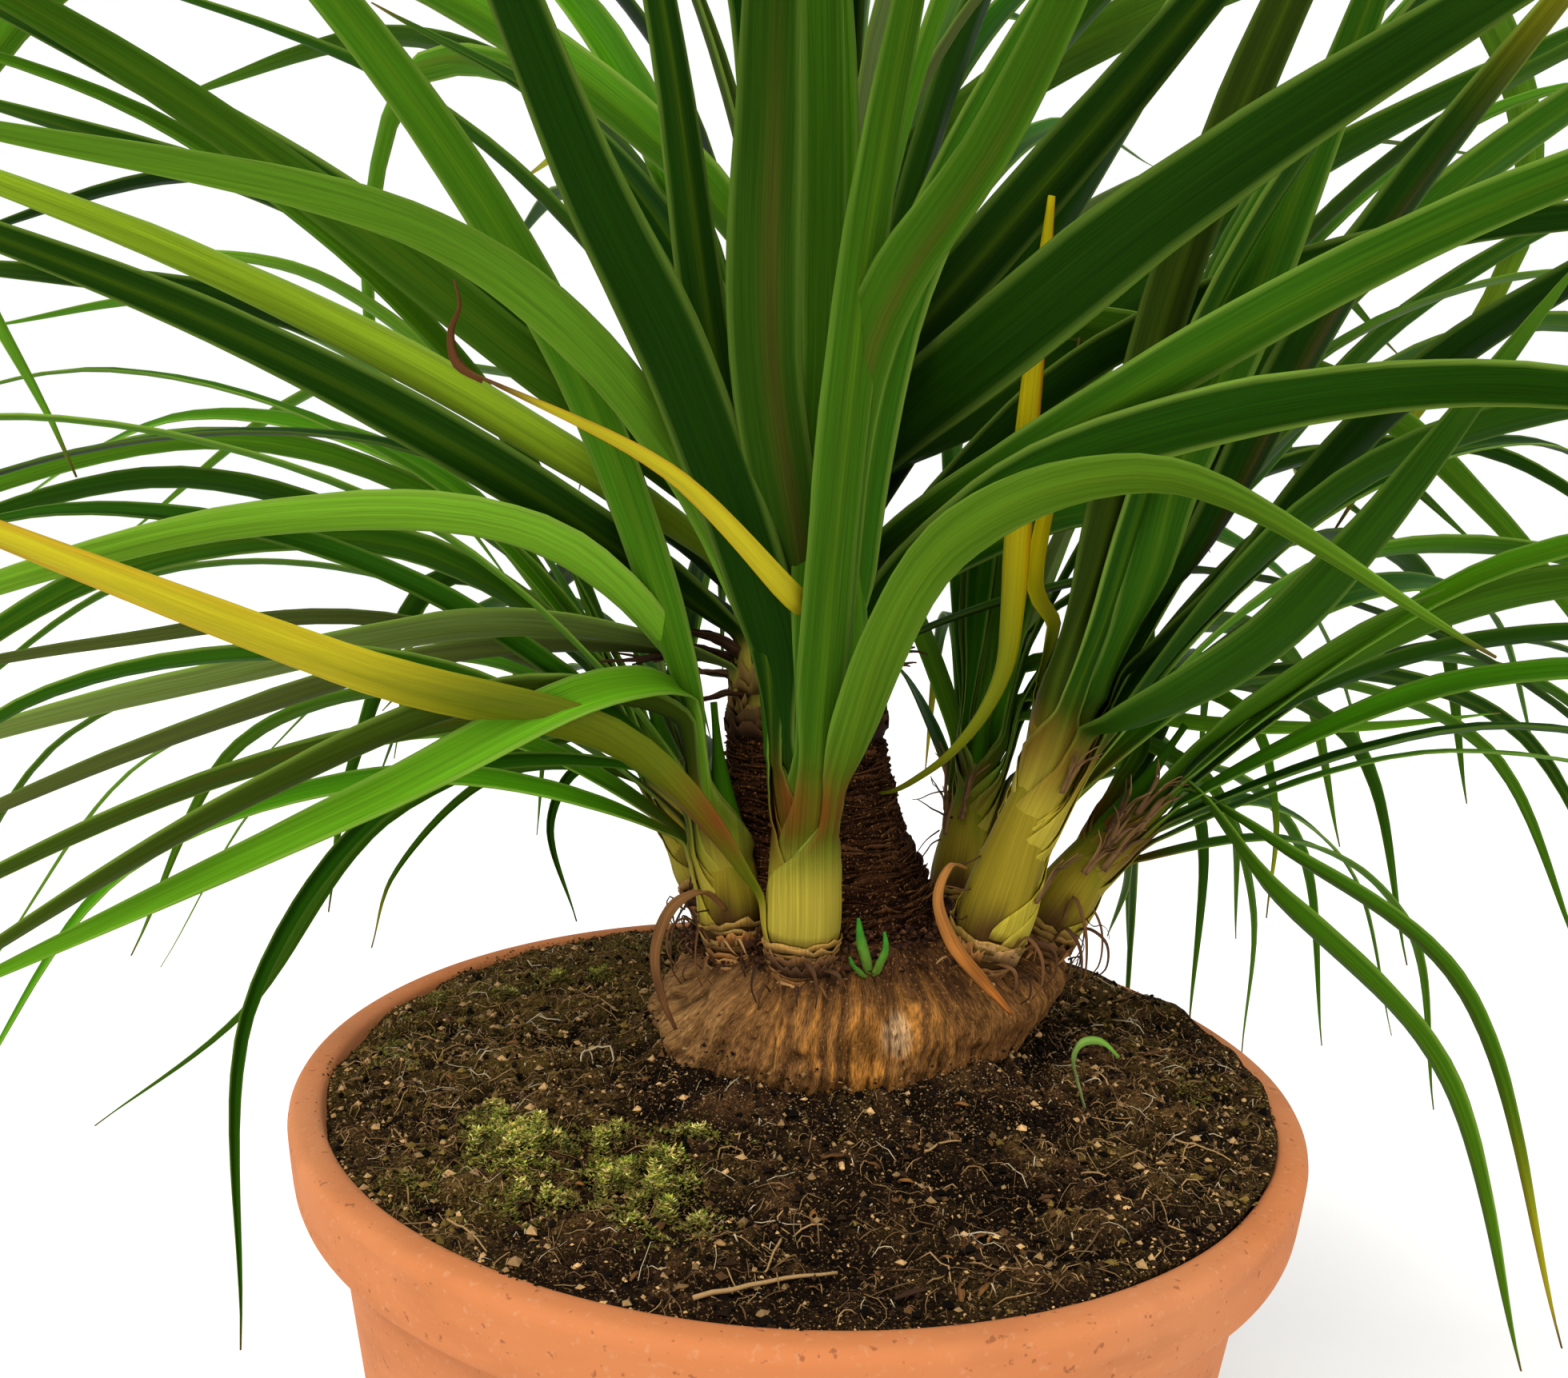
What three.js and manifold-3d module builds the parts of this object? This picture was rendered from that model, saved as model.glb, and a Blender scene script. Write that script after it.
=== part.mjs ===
// A potted ponytail palm in millimetres, +Z up.
// The origin is the centre of the pot's underside, and the plant's best side faces -Y.
import * as THREE from "three";
import { mergeVertices } from "three/addons/utils/BufferGeometryUtils.js";
import Module from "manifold-3d";

const wasm = await Module();
wasm.setup();

// Driving dimensions
const GAP = 0.45;
const POT_HEIGHT = 230;
const RIM_RADIUS = 150;
const BASE_RADIUS = 105;
const BODY_TOP_RADIUS = 138;
const RIM_INNER_RADIUS = 140.5;
const COLLAR_HEIGHT = 21;
const WALL = 9;
const FLOOR = 11;
const DRAIN_RADIUS = 7;
const DRAIN_CIRCLE = 52;
const DRAIN_AZIMUTHS = [45, 135, 225, 315];
const DRAIN_SIDES = 14;
const POT_SIDES = 32;
const SOIL_RINGS = 4;
const SOIL_SIDES = 26;
const SOIL_MARGIN = 1;
const SOIL_EDGE_Z = 224;
const SOIL_HUB_RADIUS = 2;

const CAUDEX_CENTRE = [13, 8];
const TRUNK_FOOT = [5, 12];
const TRUNK_TOP = [-2, 12];
const TRUNK_TOP_Z = 333;
const TRUNK_FOOT_Z = 268;
const TRUNK_LEAN_Z = 270;
const TRUNK_SUNK_Z = 264;
const TRUNK_RADIUS = [36, 24.5];
const TRUNK_STEPS = 7;
const TRUNK_SIDES = 12;
const TRUNK_FLARE = 0.06;
const TRUNK_ROUGHNESS = 1.2;
const WOOD_SIDES = 20;

const LEAF_SEGMENTS = 7;
const LEAF_TAPER = 0.55;
const LEAF_KEEL = 0.13;
const LEAF_MIN_WIDTH = 1.5;
const LEAF_MIN_DEPTH = 0.9;
const NECK_WIDTH = 0.45;
const NECK_RUN = 0.14;
const ROLL_RUN = 0.3;
const ROOT_DEPTH = 0.6;
const CURVE_STEPS = 80;
const CLEARANCE = 1.1;
const BUNDLE_RUN = 0.3;
const CORE_SHARE = 0.9;
const SIMPLER = 0.12;
const SPLINT_RADIUS = 0.6;
const MERGE_GRID = 0.005;

// The leafy stems: where the foot sits, how it leans, and how thick it is at foot and top
const STEMS = {
  crown: { foot: [-2, 12, 334], azimuth: 170, rise: 86, length: 68, radius: [24, 13], plug: 0 },
  left: { foot: [-20, -14, 268], azimuth: 180, rise: 83, length: 58, radius: [11, 8.5], plug: 12 },
  front: { foot: [0, -27, 268], azimuth: 265, rise: 84, length: 70, radius: [12, 9], plug: 14 },
  right: { foot: [53, -13, 268], azimuth: 350, rise: 75, length: 85, radius: [12, 10], plug: 10 },
  far_right: { foot: [72, 9, 266], azimuth: 5, rise: 58, length: 66, radius: [11.5, 9], plug: 10 },
  back_right: { foot: [50, 36, 266], azimuth: 60, rise: 74, length: 66, radius: [11, 8], plug: 14 },
  back_left: { foot: [-30, 34, 268], azimuth: 150, rise: 66, length: 70, radius: [11, 8], plug: 18 },
};

// Leaves placed one by one: node, stem, height on the stem, run along the sheath,
// two points on the way, the tip, width and roll
const PLACED_LEAVES = [
  ["yellow_front_leaf", "front", 0.12, 12, [-45, -60, 335], [-110, -80, 355], [-260, -120, 415], 12, 70],
  ["yellow_right_leaf", "right", 0.45, 22, [50, -30, 360], [55, -40, 425], [56, -45, 482], 9, 10],
  ["yellow_short_leaf", "right", 0.95, 20, [65, -5, 380], [70, 0, 420], [75, 5, 455], 8, 10],
  ["yellow_crown_leaf", "crown", 0.75, 25, [-45, -25, 425], [-90, -35, 440], [-108, -30, 462], 12, 60],
  ["left", "left", 0.9, 35, [-75, -45, 390], [-145, -75, 390], [-255, -130, 345], 12, 60],
  ["left", "left", 0.75, 35, [-55, -60, 350], [-105, -120, 325], [-155, -235, 302], 12, -50],
  ["crown", "crown", 0.1, 12, [-85, -25, 365], [-175, -50, 345], [-295, -90, 305], 12, 50],
  ["left", "left", 0.7, 30, [-80, -60, 348], [-135, -100, 325], [-220, -150, 265], 12, 50],
  ["crown", "crown", 0.1, 12, [-100, 0, 355], [-180, -20, 330], [-315, -50, 265], 9, 50],
  ["left", "left", 0.8, 30, [-100, -10, 335], [-175, -30, 315], [-295, -70, 250], 10, 50],
  ["back_left", "back_left", 0.6, 25, [-135, 25, 360], [-230, 15, 350], [-355, 0, 320], 7, 50],
  ["back_left", "back_left", 0.7, 30, [-130, 20, 385], [-215, 0, 375], [-325, -20, 290], 12, 60],
  ["back_left", "back_left", 0.8, 35, [-125, 45, 380], [-225, 50, 405], [-410, 60, 340], 9, 60],
  ["back_left", "back_left", 0.8, 35, [-125, 50, 398], [-205, 45, 418], [-375, 40, 360], 9, 60],
  ["left", "left", 0.5, 22, [-115, -10, 315], [-162, -25, 250], [-155, -50, 155], 7, 60],
  ["back_left", "back_left", 0.5, 28, [-140, 35, 295], [-200, 50, 215], [-260, 60, 165], 5, 60],
  ["back_left", "back_left", 0.4, 18, [-110, 60, 305], [-150, 65, 265], [-160, 70, 235], 4, 60],
  ["back_left", "back_left", 0.4, 16, [-80, 50, 310], [-90, 50, 290], [-80, 50, 255], 4, 60],
  ["back_left", "back_left", 0.6, 30, [-130, 60, 375], [-170, 75, 300], [-180, 80, 245], 8, 60],
  ["crown", "crown", 0.9, 90, [-210, 80, 590], [-260, 70, 500], [-200, 75, 400], 15, 60],
  ["crown", "crown", 0.9, 90, [-165, 95, 565], [-195, 95, 460], [-140, 95, 360], 12, 60],
  ["crown", "crown", 0.2, 15, [-85, -35, 405], [-155, -70, 440], [-235, -140, 465], 15, 60],
  ["crown", "crown", 0.35, 20, [-85, -35, 420], [-160, -60, 455], [-275, -100, 490], 12, 60],
  ["crown", "crown", 0.5, 20, [-85, -50, 440], [-150, -95, 485], [-205, -180, 505], 17, 60],
  ["front", "front", 1, 35, [-55, -85, 435], [-95, -140, 460], [-130, -230, 440], 14, 60],
  ["crown", "crown", 1, 42, [-60, -20, 462], [-118, -50, 524], [-195, -105, 592], 22, 50],
  ["crown", "crown", 0.45, 25, [-70, 5, 430], [-150, 0, 490], [-300, -20, 560], 16, 55],
  ["crown", "crown", 0.3, 20, [-75, 12, 412], [-165, 15, 455], [-320, 20, 470], 14, 55],
  ["crown", "crown", 1, 40, [-60, 22, 470], [-120, 25, 560], [-220, 30, 700], 18, 50],
  ["crown", "crown", 0.5, 25, [-70, 32, 430], [-160, 50, 490], [-330, 60, 540], 15, 55],
  ["crown", "crown", 0.6, 30, [60, 30, 440], [140, 50, 510], [300, 70, 600], 18, -55],
  ["crown", "crown", 0.8, 35, [50, 12, 465], [105, 20, 560], [200, 30, 720], 18, -50],
  ["crown", "crown", 1, 44, [-68, 0, 465], [-115, -20, 530], [-175, -40, 660], 17, 50],
  ["front", "front", 1, 40, [-35, -70, 430], [-55, -100, 470], [-90, -170, 560], 20, 30],
  ["crown", "crown", 1, 40, [-35, -30, 445], [-50, -50, 505], [-85, -100, 630], 20, 40],
  ["front", "front", 0.9, 40, [-30, -60, 440], [-40, -70, 500], [-65, -90, 620], 12, 70],
  ["front", "front", 1, 40, [-15, -75, 435], [-15, -100, 490], [-10, -190, 560], 20, 0],
  ["crown", "crown", 1, 40, [-5, -20, 470], [-5, -20, 520], [10, -20, 680], 15, 40],
  ["front", "front", 0.8, 40, [5, -65, 425], [10, -85, 480], [25, -140, 570], 15, 20],
  ["crown", "crown", 1, 40, [15, 0, 470], [35, 10, 540], [95, 40, 700], 17, -50],
  ["front", "front", 1, 40, [10, -75, 440], [35, -110, 480], [60, -200, 540], 18, -25],
  ["crown", "crown", 0.6, 30, [45, -55, 445], [90, -90, 480], [165, -170, 520], 24, -60],
  ["crown", "crown", 0.8, 40, [35, -20, 465], [80, -40, 520], [160, -80, 620], 20, -60],
  ["front", "front", 0.75, 40, [30, -75, 390], [70, -110, 408], [115, -170, 375], 13, -60],
  ["crown", "crown", 0.35, 20, [60, -35, 420], [135, -75, 465], [215, -150, 485], 14, -60],
  ["crown", "crown", 0.2, 15, [55, -45, 410], [130, -90, 430], [190, -190, 405], 17, -60],
  ["right", "right", 1, 30, [90, -25, 390], [110, -40, 455], [140, -80, 585], 17, -60],
  ["right", "right", 1, 25, [105, -15, 390], [145, -20, 475], [225, -40, 595], 16, -60],
  ["right", "right", 0.75, 12, [85, -35, 345], [120, -50, 372], [175, -80, 465], 14, -60],
  ["right", "right", 0.9, 15, [115, -15, 380], [165, -25, 445], [285, -50, 520], 14, -60],
  ["right", "right", 1, 25, [115, 5, 425], [180, 10, 500], [335, 20, 610], 19, -60],
  ["far_right", "far_right", 0.9, 12, [140, -10, 295], [185, -30, 250], [205, -50, 170], 11, -50],
  ["far_right", "far_right", 0.85, 12, [145, -5, 305], [195, -15, 270], [228, -30, 165], 7, -50],
  ["far_right", "far_right", 0.9, 20, [135, -5, 350], [195, -20, 385], [325, -50, 395], 13, -60],
  ["far_right", "far_right", 0.85, 15, [140, 5, 345], [205, 10, 370], [370, 20, 375], 7, -60],
  ["back_right", "back_right", 0.8, 25, [135, 50, 335], [190, 60, 335], [250, 80, 340], 6, 60],
  ["back_right", "back_right", 0.9, 30, [150, 60, 340], [165, 60, 305], [165, 60, 265], 8, 60],
  ["back_right", "back_right", 0.7, 25, [130, 40, 320], [155, 50, 275], [160, 60, 215], 6, 60],
  ["far_right", "far_right", 0.7, 10, [110, 25, 295], [118, 30, 270], [122, 40, 240], 5, 60],
  ["crown", "crown", 0.9, 90, [200, 70, 600], [240, 60, 520], [185, 60, 400], 19, -60],
  ["crown", "crown", 0.7, 70, [155, 30, 450], [225, 50, 410], [305, 60, 325], 12, -60],
  ["back_right", "back_right", 0.9, 40, [130, 50, 405], [200, 70, 480], [385, 100, 585], 10, -60],
];

// Leaves placed by rule: how many, the sector they fill, and the ranges from the lowest leaf
// to the innermost one of how steep, how long, how wide and how drooping they are
const GROWN_LEAVES = [
  { stem: "crown", seed: 11, count: 34, sector: [0, 360], height: [0.1, 1], rise: [18, 84],
    length: [400, 430], width: [13, 19], droop: [70, 30], lift: [14, 40] },
  { stem: "left", seed: 23, count: 20, sector: [130, 235], height: [0.3, 1], rise: [10, 78],
    length: [300, 360], width: [7, 12], droop: [70, 45], lift: [12, 36] },
  { stem: "front", seed: 31, count: 8, sector: [150, 390], height: [0.6, 1], rise: [74, 86],
    length: [300, 340], width: [12, 15], droop: [45, 30], lift: [30, 40] },
  { stem: "right", seed: 41, count: 20, sector: [-62, 60], height: [0.4, 1], rise: [24, 82],
    length: [300, 380], width: [9, 15], droop: [90, 45], lift: [12, 30] },
  { stem: "far_right", seed: 59, count: 20, sector: [-75, 75], height: [0.4, 1], rise: [0, 66],
    length: [280, 350], width: [6, 12], droop: [75, 55], lift: [8, 20] },
  { stem: "back_right", seed: 67, count: 23, sector: [10, 115], height: [0.3, 1], rise: [10, 80],
    length: [300, 380], width: [7, 13], droop: [90, 50], lift: [12, 36] },
  { stem: "back_left", seed: 73, count: 22, sector: [85, 205], height: [0.3, 1], rise: [8, 80],
    length: [300, 380], width: [7, 13], droop: [72, 45], lift: [12, 36] },
];

// Small pieces: dried sheaths hanging at the stems' feet, and two young shoots
const STRIPS = [
  { name: "dried_sheath_right", carrier: "right", colour: "dried", widths: [5, 9, 8, 3], thickness: 0.9,
    path: [[54, -19, 305], [44, -34, 290], [42, -43, 273], [56, -49, 258]] },
  { name: "dried_curl_left", carrier: "left", colour: "dried", widths: [3, 4, 4, 2], thickness: 0.9,
    path: [[-27, -22, 292], [-36, -39, 288], [-40, -47, 273], [-34, -51, 262]] },
  { name: "caudex_shoot", carrier: "wood", colour: "sprout", widths: [5, 4, 3, 1.5], thickness: 1.5,
    path: [[25, -33, 262], [24, -36, 272], [22, -37, 280], [19, -38, 287]] },
  { name: "soil_seedling", carrier: "soil", colour: "sprout", widths: [2, 3, 4, 2], thickness: 1.2,
    path: [[88, -50, 226], [87, -52, 236], [93, -56, 241], [101, -60, 236]] },
];
const STRIP_SEGMENTS = 8;
const LOW_FRAMES = 3;
const AZIMUTH_TRIES = [0, 5, -5, 10, -10, 16, -16, 23, -23, 31, -31];
const RISE_TRIES = [0, 7, -7, 14];
const DEPTH_TRIES = [0, 5, -5, 10, -10, 16, -16, 24, -24, 34, -34, 46, -46, 60, -60, 76, -76];
const LEVEL_TRIES = [0, 8, -8, 16, -16, 26, -26];
const TURN_TRIES = [0, 4, -4, 8, -8, 13, -13];
const GOLDEN_TURN = 0.618;
const FRONT_SECTOR = [205, 335];
const FRONT_RISE = 74;
const ROUTE_SHARES = [0.4, 1, 1.6];
const SPREAD = { turn: 0.08, rise: 12, width: 0.4, roll: 100, length: 0.35, droop: 0.5, bend: 30 };
const LEAF_THIRDS = [0.33, 0.33, 0.34];

// What the leaves keep off: the pot, the surface that it stands on, and the open front
const POT_MARGIN = 8;
const POT_HEADROOM = 16;
const GROUND_MARGIN = 25;
const SHEATH_RUN = 0.13;
const OPEN_FRONT = { left: -75, right: 105, top: 395 };
const REACHING_FRONT = { y: -150, top: 520 };

// A stem's core: shares of its length, and how thick it is there
const SIDE_STATIONS = [[0, 1.06], [0.05, 1.12], [0.12, 1], [0.5, 1], [1, 1], [1.06, 0.55]];
const CROWN_STATIONS = [[0, 1], [0.12, 1], [0.5, 1], [1, 1], [1.06, 0.55]];
const PLUG_SCALE = 0.9;
const CORE_SIDES = { crown: 14, side: 10 };

const toRadians = Math.PI / 180;
const vector = (xyz) => new THREE.Vector3(...xyz);
const mix = (a, b, t) => a + (b - a) * t;

function direction(azimuth, rise) {
  const flat = Math.cos(rise * toRadians);
  const x = flat * Math.cos(azimuth * toRadians);
  const y = flat * Math.sin(azimuth * toRadians);
  return new THREE.Vector3(x, y, Math.sin(rise * toRadians));
}

// A repeatable stream of numbers from 0 to 1
function randomStream(seed) {
  let state = seed * 7919;
  return () => {
    state = (state * 16807) % 2147483647;
    return state / 2147483647;
  };
}

function at(point, along, distance) {
  return point.clone().addScaledVector(along, distance);
}

// A smooth curve through the points, sampled evenly along its length
function curveThrough(points, count) {
  const ends = [points[0].clone().multiplyScalar(2).sub(points[1])];
  const last = points.length - 1;
  ends.push(points[last].clone().multiplyScalar(2).sub(points[last - 1]));
  const all = [ends[0], ...points, ends[1]];
  const knots = [0];
  for (let i = 1; i < all.length; i++) {
    knots.push(knots[i - 1] + Math.sqrt(all[i].distanceTo(all[i - 1])));
  }
  const blend = (a, b, from, to, t) => a.clone().lerp(b, (t - from) / (to - from));
  const samples = [];
  const spans = points.length - 1;
  for (let i = 0; i <= CURVE_STEPS; i++) {
    const along = (spans * i) / CURVE_STEPS;
    const j = Math.min(Math.floor(along), spans - 1);
    const k = knots.slice(j, j + 4);
    const t = mix(k[1], k[2], along - j);
    const a = blend(all[j], all[j + 1], k[0], k[1], t);
    const b = blend(all[j + 1], all[j + 2], k[1], k[2], t);
    const c = blend(all[j + 2], all[j + 3], k[2], k[3], t);
    samples.push(blend(blend(a, b, k[0], k[2], t), blend(b, c, k[1], k[3], t), k[1], k[2], t));
  }
  return evenly(samples, count);
}

function evenly(samples, count) {
  const travelled = [0];
  for (let i = 1; i < samples.length; i++) {
    travelled.push(travelled[i - 1] + samples[i].distanceTo(samples[i - 1]));
  }
  const total = travelled[travelled.length - 1];
  const result = [];
  let j = 0;
  for (let i = 0; i <= count; i++) {
    const wanted = (total * i) / count;
    while (j < samples.length - 2 && travelled[j + 1] < wanted) {
      j += 1;
    }
    const part = (wanted - travelled[j]) / (travelled[j + 1] - travelled[j]);
    result.push(samples[j].clone().lerp(samples[j + 1], part));
  }
  return result;
}

function stemPoint(stem, height) {
  return at(vector(stem.foot), direction(stem.azimuth, stem.rise), stem.length * height);
}

function stemRadius(stem, height) {
  return mix(stem.radius[0], stem.radius[1], height);
}

// A leaf's centre line and the directions across it, from its root in the stem to its tip
function leafFrames(leaf, segments) {
  const stem = STEMS[leaf.stem];
  const axis = direction(stem.azimuth, stem.rise);
  const centre = stemPoint(stem, leaf.height);
  const outward = leaf.first.clone().sub(centre);
  outward.addScaledVector(axis, -outward.dot(axis)).normalize();
  const radius = stemRadius(stem, leaf.height);
  const root = at(centre, outward, radius * ROOT_DEPTH);
  const rise = at(at(root, axis, leaf.lift), outward, radius * (1 - ROOT_DEPTH));
  const points = curveThrough([root, rise, leaf.first, leaf.second, leaf.tip], segments);
  const heading = new THREE.Vector3(leaf.tip.x - root.x, leaf.tip.y - root.y, 0).normalize();
  const flat = new THREE.Vector3(-heading.y, heading.x, 0);
  const frames = points.map((point, i) => {
    const before = points[Math.max(i - 1, 0)];
    const after = points[Math.min(i + 1, segments)];
    const tangent = after.clone().sub(before).normalize();
    const side = flat.clone().addScaledVector(tangent, -flat.dot(tangent)).normalize();
    const normal = tangent.clone().cross(side);
    const s = i / segments;
    const turn = leaf.roll * Math.min(1, s / ROLL_RUN) * toRadians;
    const across = side.clone().multiplyScalar(Math.cos(turn)).addScaledVector(normal, Math.sin(turn));
    const width = leafWidth(leaf.width, s);
    return { point, tangent, across, normal: tangent.clone().cross(across), width };
  });
  const middle = frames[Math.round(segments / 2)];
  const upward = new THREE.Vector3(0, 0, 1).addScaledVector(outward, -0.5);
  const faceUp = Math.sign(middle.normal.dot(upward)) || 1;
  for (const frame of frames) {
    frame.normal.multiplyScalar(faceUp);
  }
  return frames;
}

function leafWidth(width, s) {
  const taper = Math.min(1, (1 - s) / LEAF_TAPER) ** 0.8;
  const neck = mix(NECK_WIDTH, 1, Math.min(1, s / NECK_RUN));
  return Math.max(LEAF_MIN_WIDTH, width * taper * neck);
}

// Oriented boxes round the pieces of a leaf or a stem, for keeping leaves off each other
function leafBoxes(frames) {
  const boxes = [];
  for (let i = 0; i < frames.length - 1; i++) {
    const a = frames[i];
    const b = frames[i + 1];
    const along = b.point.clone().sub(a.point);
    const half = along.length() / 2;
    along.normalize();
    const across = a.across.clone().add(b.across);
    across.addScaledVector(along, -across.dot(along)).normalize();
    const centre = a.point.clone().lerp(b.point, 0.5);
    const width = Math.max(a.width, b.width) / 2;
    boxes.push({ centre, axes: [along, across, along.clone().cross(across)],
      halves: [half, width + CLEARANCE, LEAF_KEEL * width + CLEARANCE], s: i / (frames.length - 1) });
  }
  return boxes;
}

function stemBoxes(stem) {
  const along = direction(stem.azimuth, stem.rise);
  const across = new THREE.Vector3(1, 0, 0).addScaledVector(along, -along.x).normalize();
  const third = along.clone().cross(across);
  return [1 / 6, 3 / 6, 5 / 6].map((height) => {
    const half = stemRadius(stem, height) * CORE_SHARE;
    return { centre: stemPoint(stem, height), axes: [along, across, third],
      halves: [stem.length / 6, half, half], s: 1, core: true };
  });
}

function boxReach(box, axis) {
  return box.axes.reduce((sum, side, i) => sum + Math.abs(side.dot(axis)) * box.halves[i], 0);
}

function separates(axis, offset, a, b) {
  return Math.abs(offset.dot(axis)) > boxReach(a, axis) + boxReach(b, axis);
}

function boxesTouch(a, b) {
  const offset = b.centre.clone().sub(a.centre);
  const reach = Math.hypot(...a.halves) + Math.hypot(...b.halves);
  if (offset.lengthSq() > reach * reach) {
    return false;
  }
  for (const axis of [...a.axes, ...b.axes]) {
    if (separates(axis, offset, a, b)) {
      return false;
    }
  }
  for (const first of a.axes) {
    for (const second of b.axes) {
      const axis = first.clone().cross(second);
      if (axis.lengthSq() > 1e-6 && separates(axis.normalize(), offset, a, b)) {
        return false;
      }
    }
  }
  return true;
}

// Wood: the swollen caudex in the soil and the scaly trunk on it
const CAUDEX_PROFILE = [
  [178, 18], [184, 34], [198, 50], [216, 57], [236, 58], [250, 58.5], [258, 57],
  [265, 51], [270, 43], [274, 38],
];

// The radius at a height, between the points [height, radius] of a profile
function profileRadius(profile, z) {
  let j = 0;
  while (j < profile.length - 2 && profile[j + 1][0] < z) {
    j += 1;
  }
  const part = (z - profile[j][0]) / (profile[j + 1][0] - profile[j][0]);
  return mix(profile[j][1], profile[j + 1][1], Math.min(1, Math.max(0, part)));
}

function caudexRadius(z, azimuth) {
  const round = profileRadius(CAUDEX_PROFILE, z);
  const shoulder = Math.exp(-(((z - 262) / 16) ** 2)) * Math.exp(-((turnBetween(azimuth, 0) / 55) ** 2));
  const lobes = 0.025 * Math.sin(3 * azimuth * toRadians + 0.6) + 0.015 * Math.sin(7 * azimuth * toRadians);
  const depth = 1 - 0.07 * Math.abs(Math.sin(azimuth * toRadians));
  return round * (depth + lobes + 0.3 * shoulder);
}

function turnBetween(a, b) {
  return ((((a - b) % 360) + 540) % 360) - 180;
}

function trunkCentre(z) {
  const t = (z - TRUNK_LEAN_Z) / (TRUNK_TOP_Z - TRUNK_LEAN_Z);
  return [mix(TRUNK_FOOT[0], TRUNK_TOP[0], t), mix(TRUNK_FOOT[1], TRUNK_TOP[1], t)];
}

function trunkRadius(z) {
  return mix(TRUNK_RADIUS[0], TRUNK_RADIUS[1], (z - TRUNK_FOOT_Z) / (TRUNK_TOP_Z - TRUNK_FOOT_Z));
}

function insideWood(point) {
  if (point.z > TRUNK_TOP_Z + 2) {
    return false;
  }
  if (point.z > TRUNK_FOOT_Z) {
    const [x, y] = trunkCentre(point.z);
    return Math.hypot(point.x - x, point.y - y) < trunkRadius(point.z) + 2;
  }
  const dx = point.x - CAUDEX_CENTRE[0];
  const dy = point.y - CAUDEX_CENTRE[1];
  return Math.hypot(dx, dy) < caudexRadius(point.z, Math.atan2(dy, dx) / toRadians) + 3;
}

// Leaves keep off the pot, the soil, the wood and the surface that the pot stands on
function meetsSurroundings(frames) {
  return frames.some((frame, i) => {
    const s = i / (frames.length - 1);
    const edges = [-0.5, 0, 0.5].map((part) => at(frame.point, frame.across, frame.width * part));
    return edges.some((p) => {
      const overPot = Math.hypot(p.x, p.y) < RIM_RADIUS + POT_MARGIN && p.z < POT_HEIGHT + POT_HEADROOM;
      return s > SHEATH_RUN && (overPot || p.z < GROUND_MARGIN || insideWood(p));
    });
  });
}

// The front stays open, so that the caudex and the feet of the stems show
function hidesFront(frames) {
  return frames.some((frame, i) => {
    const p = frame.point;
    const overFront = p.y < 0 && p.x > OPEN_FRONT.left && p.x < OPEN_FRONT.right;
    const low = overFront && p.z < OPEN_FRONT.top;
    const reaching = p.y < REACHING_FRONT.y && p.z < REACHING_FRONT.top;
    return i > 1 && (low || reaching);
  });
}

function isClear(leaf, frames, boxes, placed) {
  if (meetsSurroundings(frames)) {
    return false;
  }
  for (const other of placed) {
    const sameNode = other.node === leaf.node;
    const ownStem = other.node === leaf.stem;
    for (const box of boxes) {
      for (const taken of other.boxes) {
        if (sameNode && (box.s < BUNDLE_RUN || taken.s < BUNDLE_RUN)) {
          continue;
        }
        if (ownStem && taken.core && box.s < BUNDLE_RUN) {
          continue;
        }
        if (boxesTouch(box, taken)) {
          return false;
        }
      }
    }
  }
  return true;
}

// Each leaf takes the first of its nearby places where it is clear of all the others
function arrangeLeaves() {
  const placed = Object.entries(STEMS).map(([name, stem]) => ({ node: name, boxes: stemBoxes(stem) }));
  placed.push(...STRIPS.map((strip) => ({ node: strip.name, boxes: leafBoxes(stripFrames(strip)) })));
  const leaves = [];
  const keep = (leaf, frames, boxes) => {
    placed.push({ node: leaf.node, boxes });
    leaves.push({ ...leaf, frames });
  };
  for (const [node, stem, height, lift, first, second, tip, width, roll] of PLACED_LEAVES) {
    const loose = node !== stem;
    const plan = { node, stem, height, lift, width, roll, loose };
    placeChosenLeaf(plan, [first, second, tip].map(vector), placed, keep);
  }
  for (const group of GROWN_LEAVES) {
    growLeaves(group, placed, keep);
  }
  return leaves;
}

function placeChosenLeaf(plan, route, placed, keep) {
  const tries = TURN_TRIES.flatMap((turn) => (
    LEVEL_TRIES.flatMap((level) => DEPTH_TRIES.map((depth) => [turn, level, depth]))
  ));
  for (const [turn, level, depth] of tries) {
    const [first, second, tip] = route.map((point, i) => {
      const aside = new THREE.Vector3(0, ROUTE_SHARES[i] * depth, ROUTE_SHARES[i] * level);
      return aroundStem(point, STEMS[plan.stem], turn).add(aside);
    });
    const leaf = { ...plan, first, second, tip };
    const frames = leafFrames(leaf, LEAF_SEGMENTS);
    const boxes = leafBoxes(frames);
    if (isClear(leaf, frames, boxes, placed)) {
      keep(leaf, frames, boxes);
      return;
    }
  }
}

function aroundStem(point, stem, turn) {
  const foot = vector(stem.foot);
  return point.clone().sub(foot).applyAxisAngle(new THREE.Vector3(0, 0, 1), turn * toRadians).add(foot);
}

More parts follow.
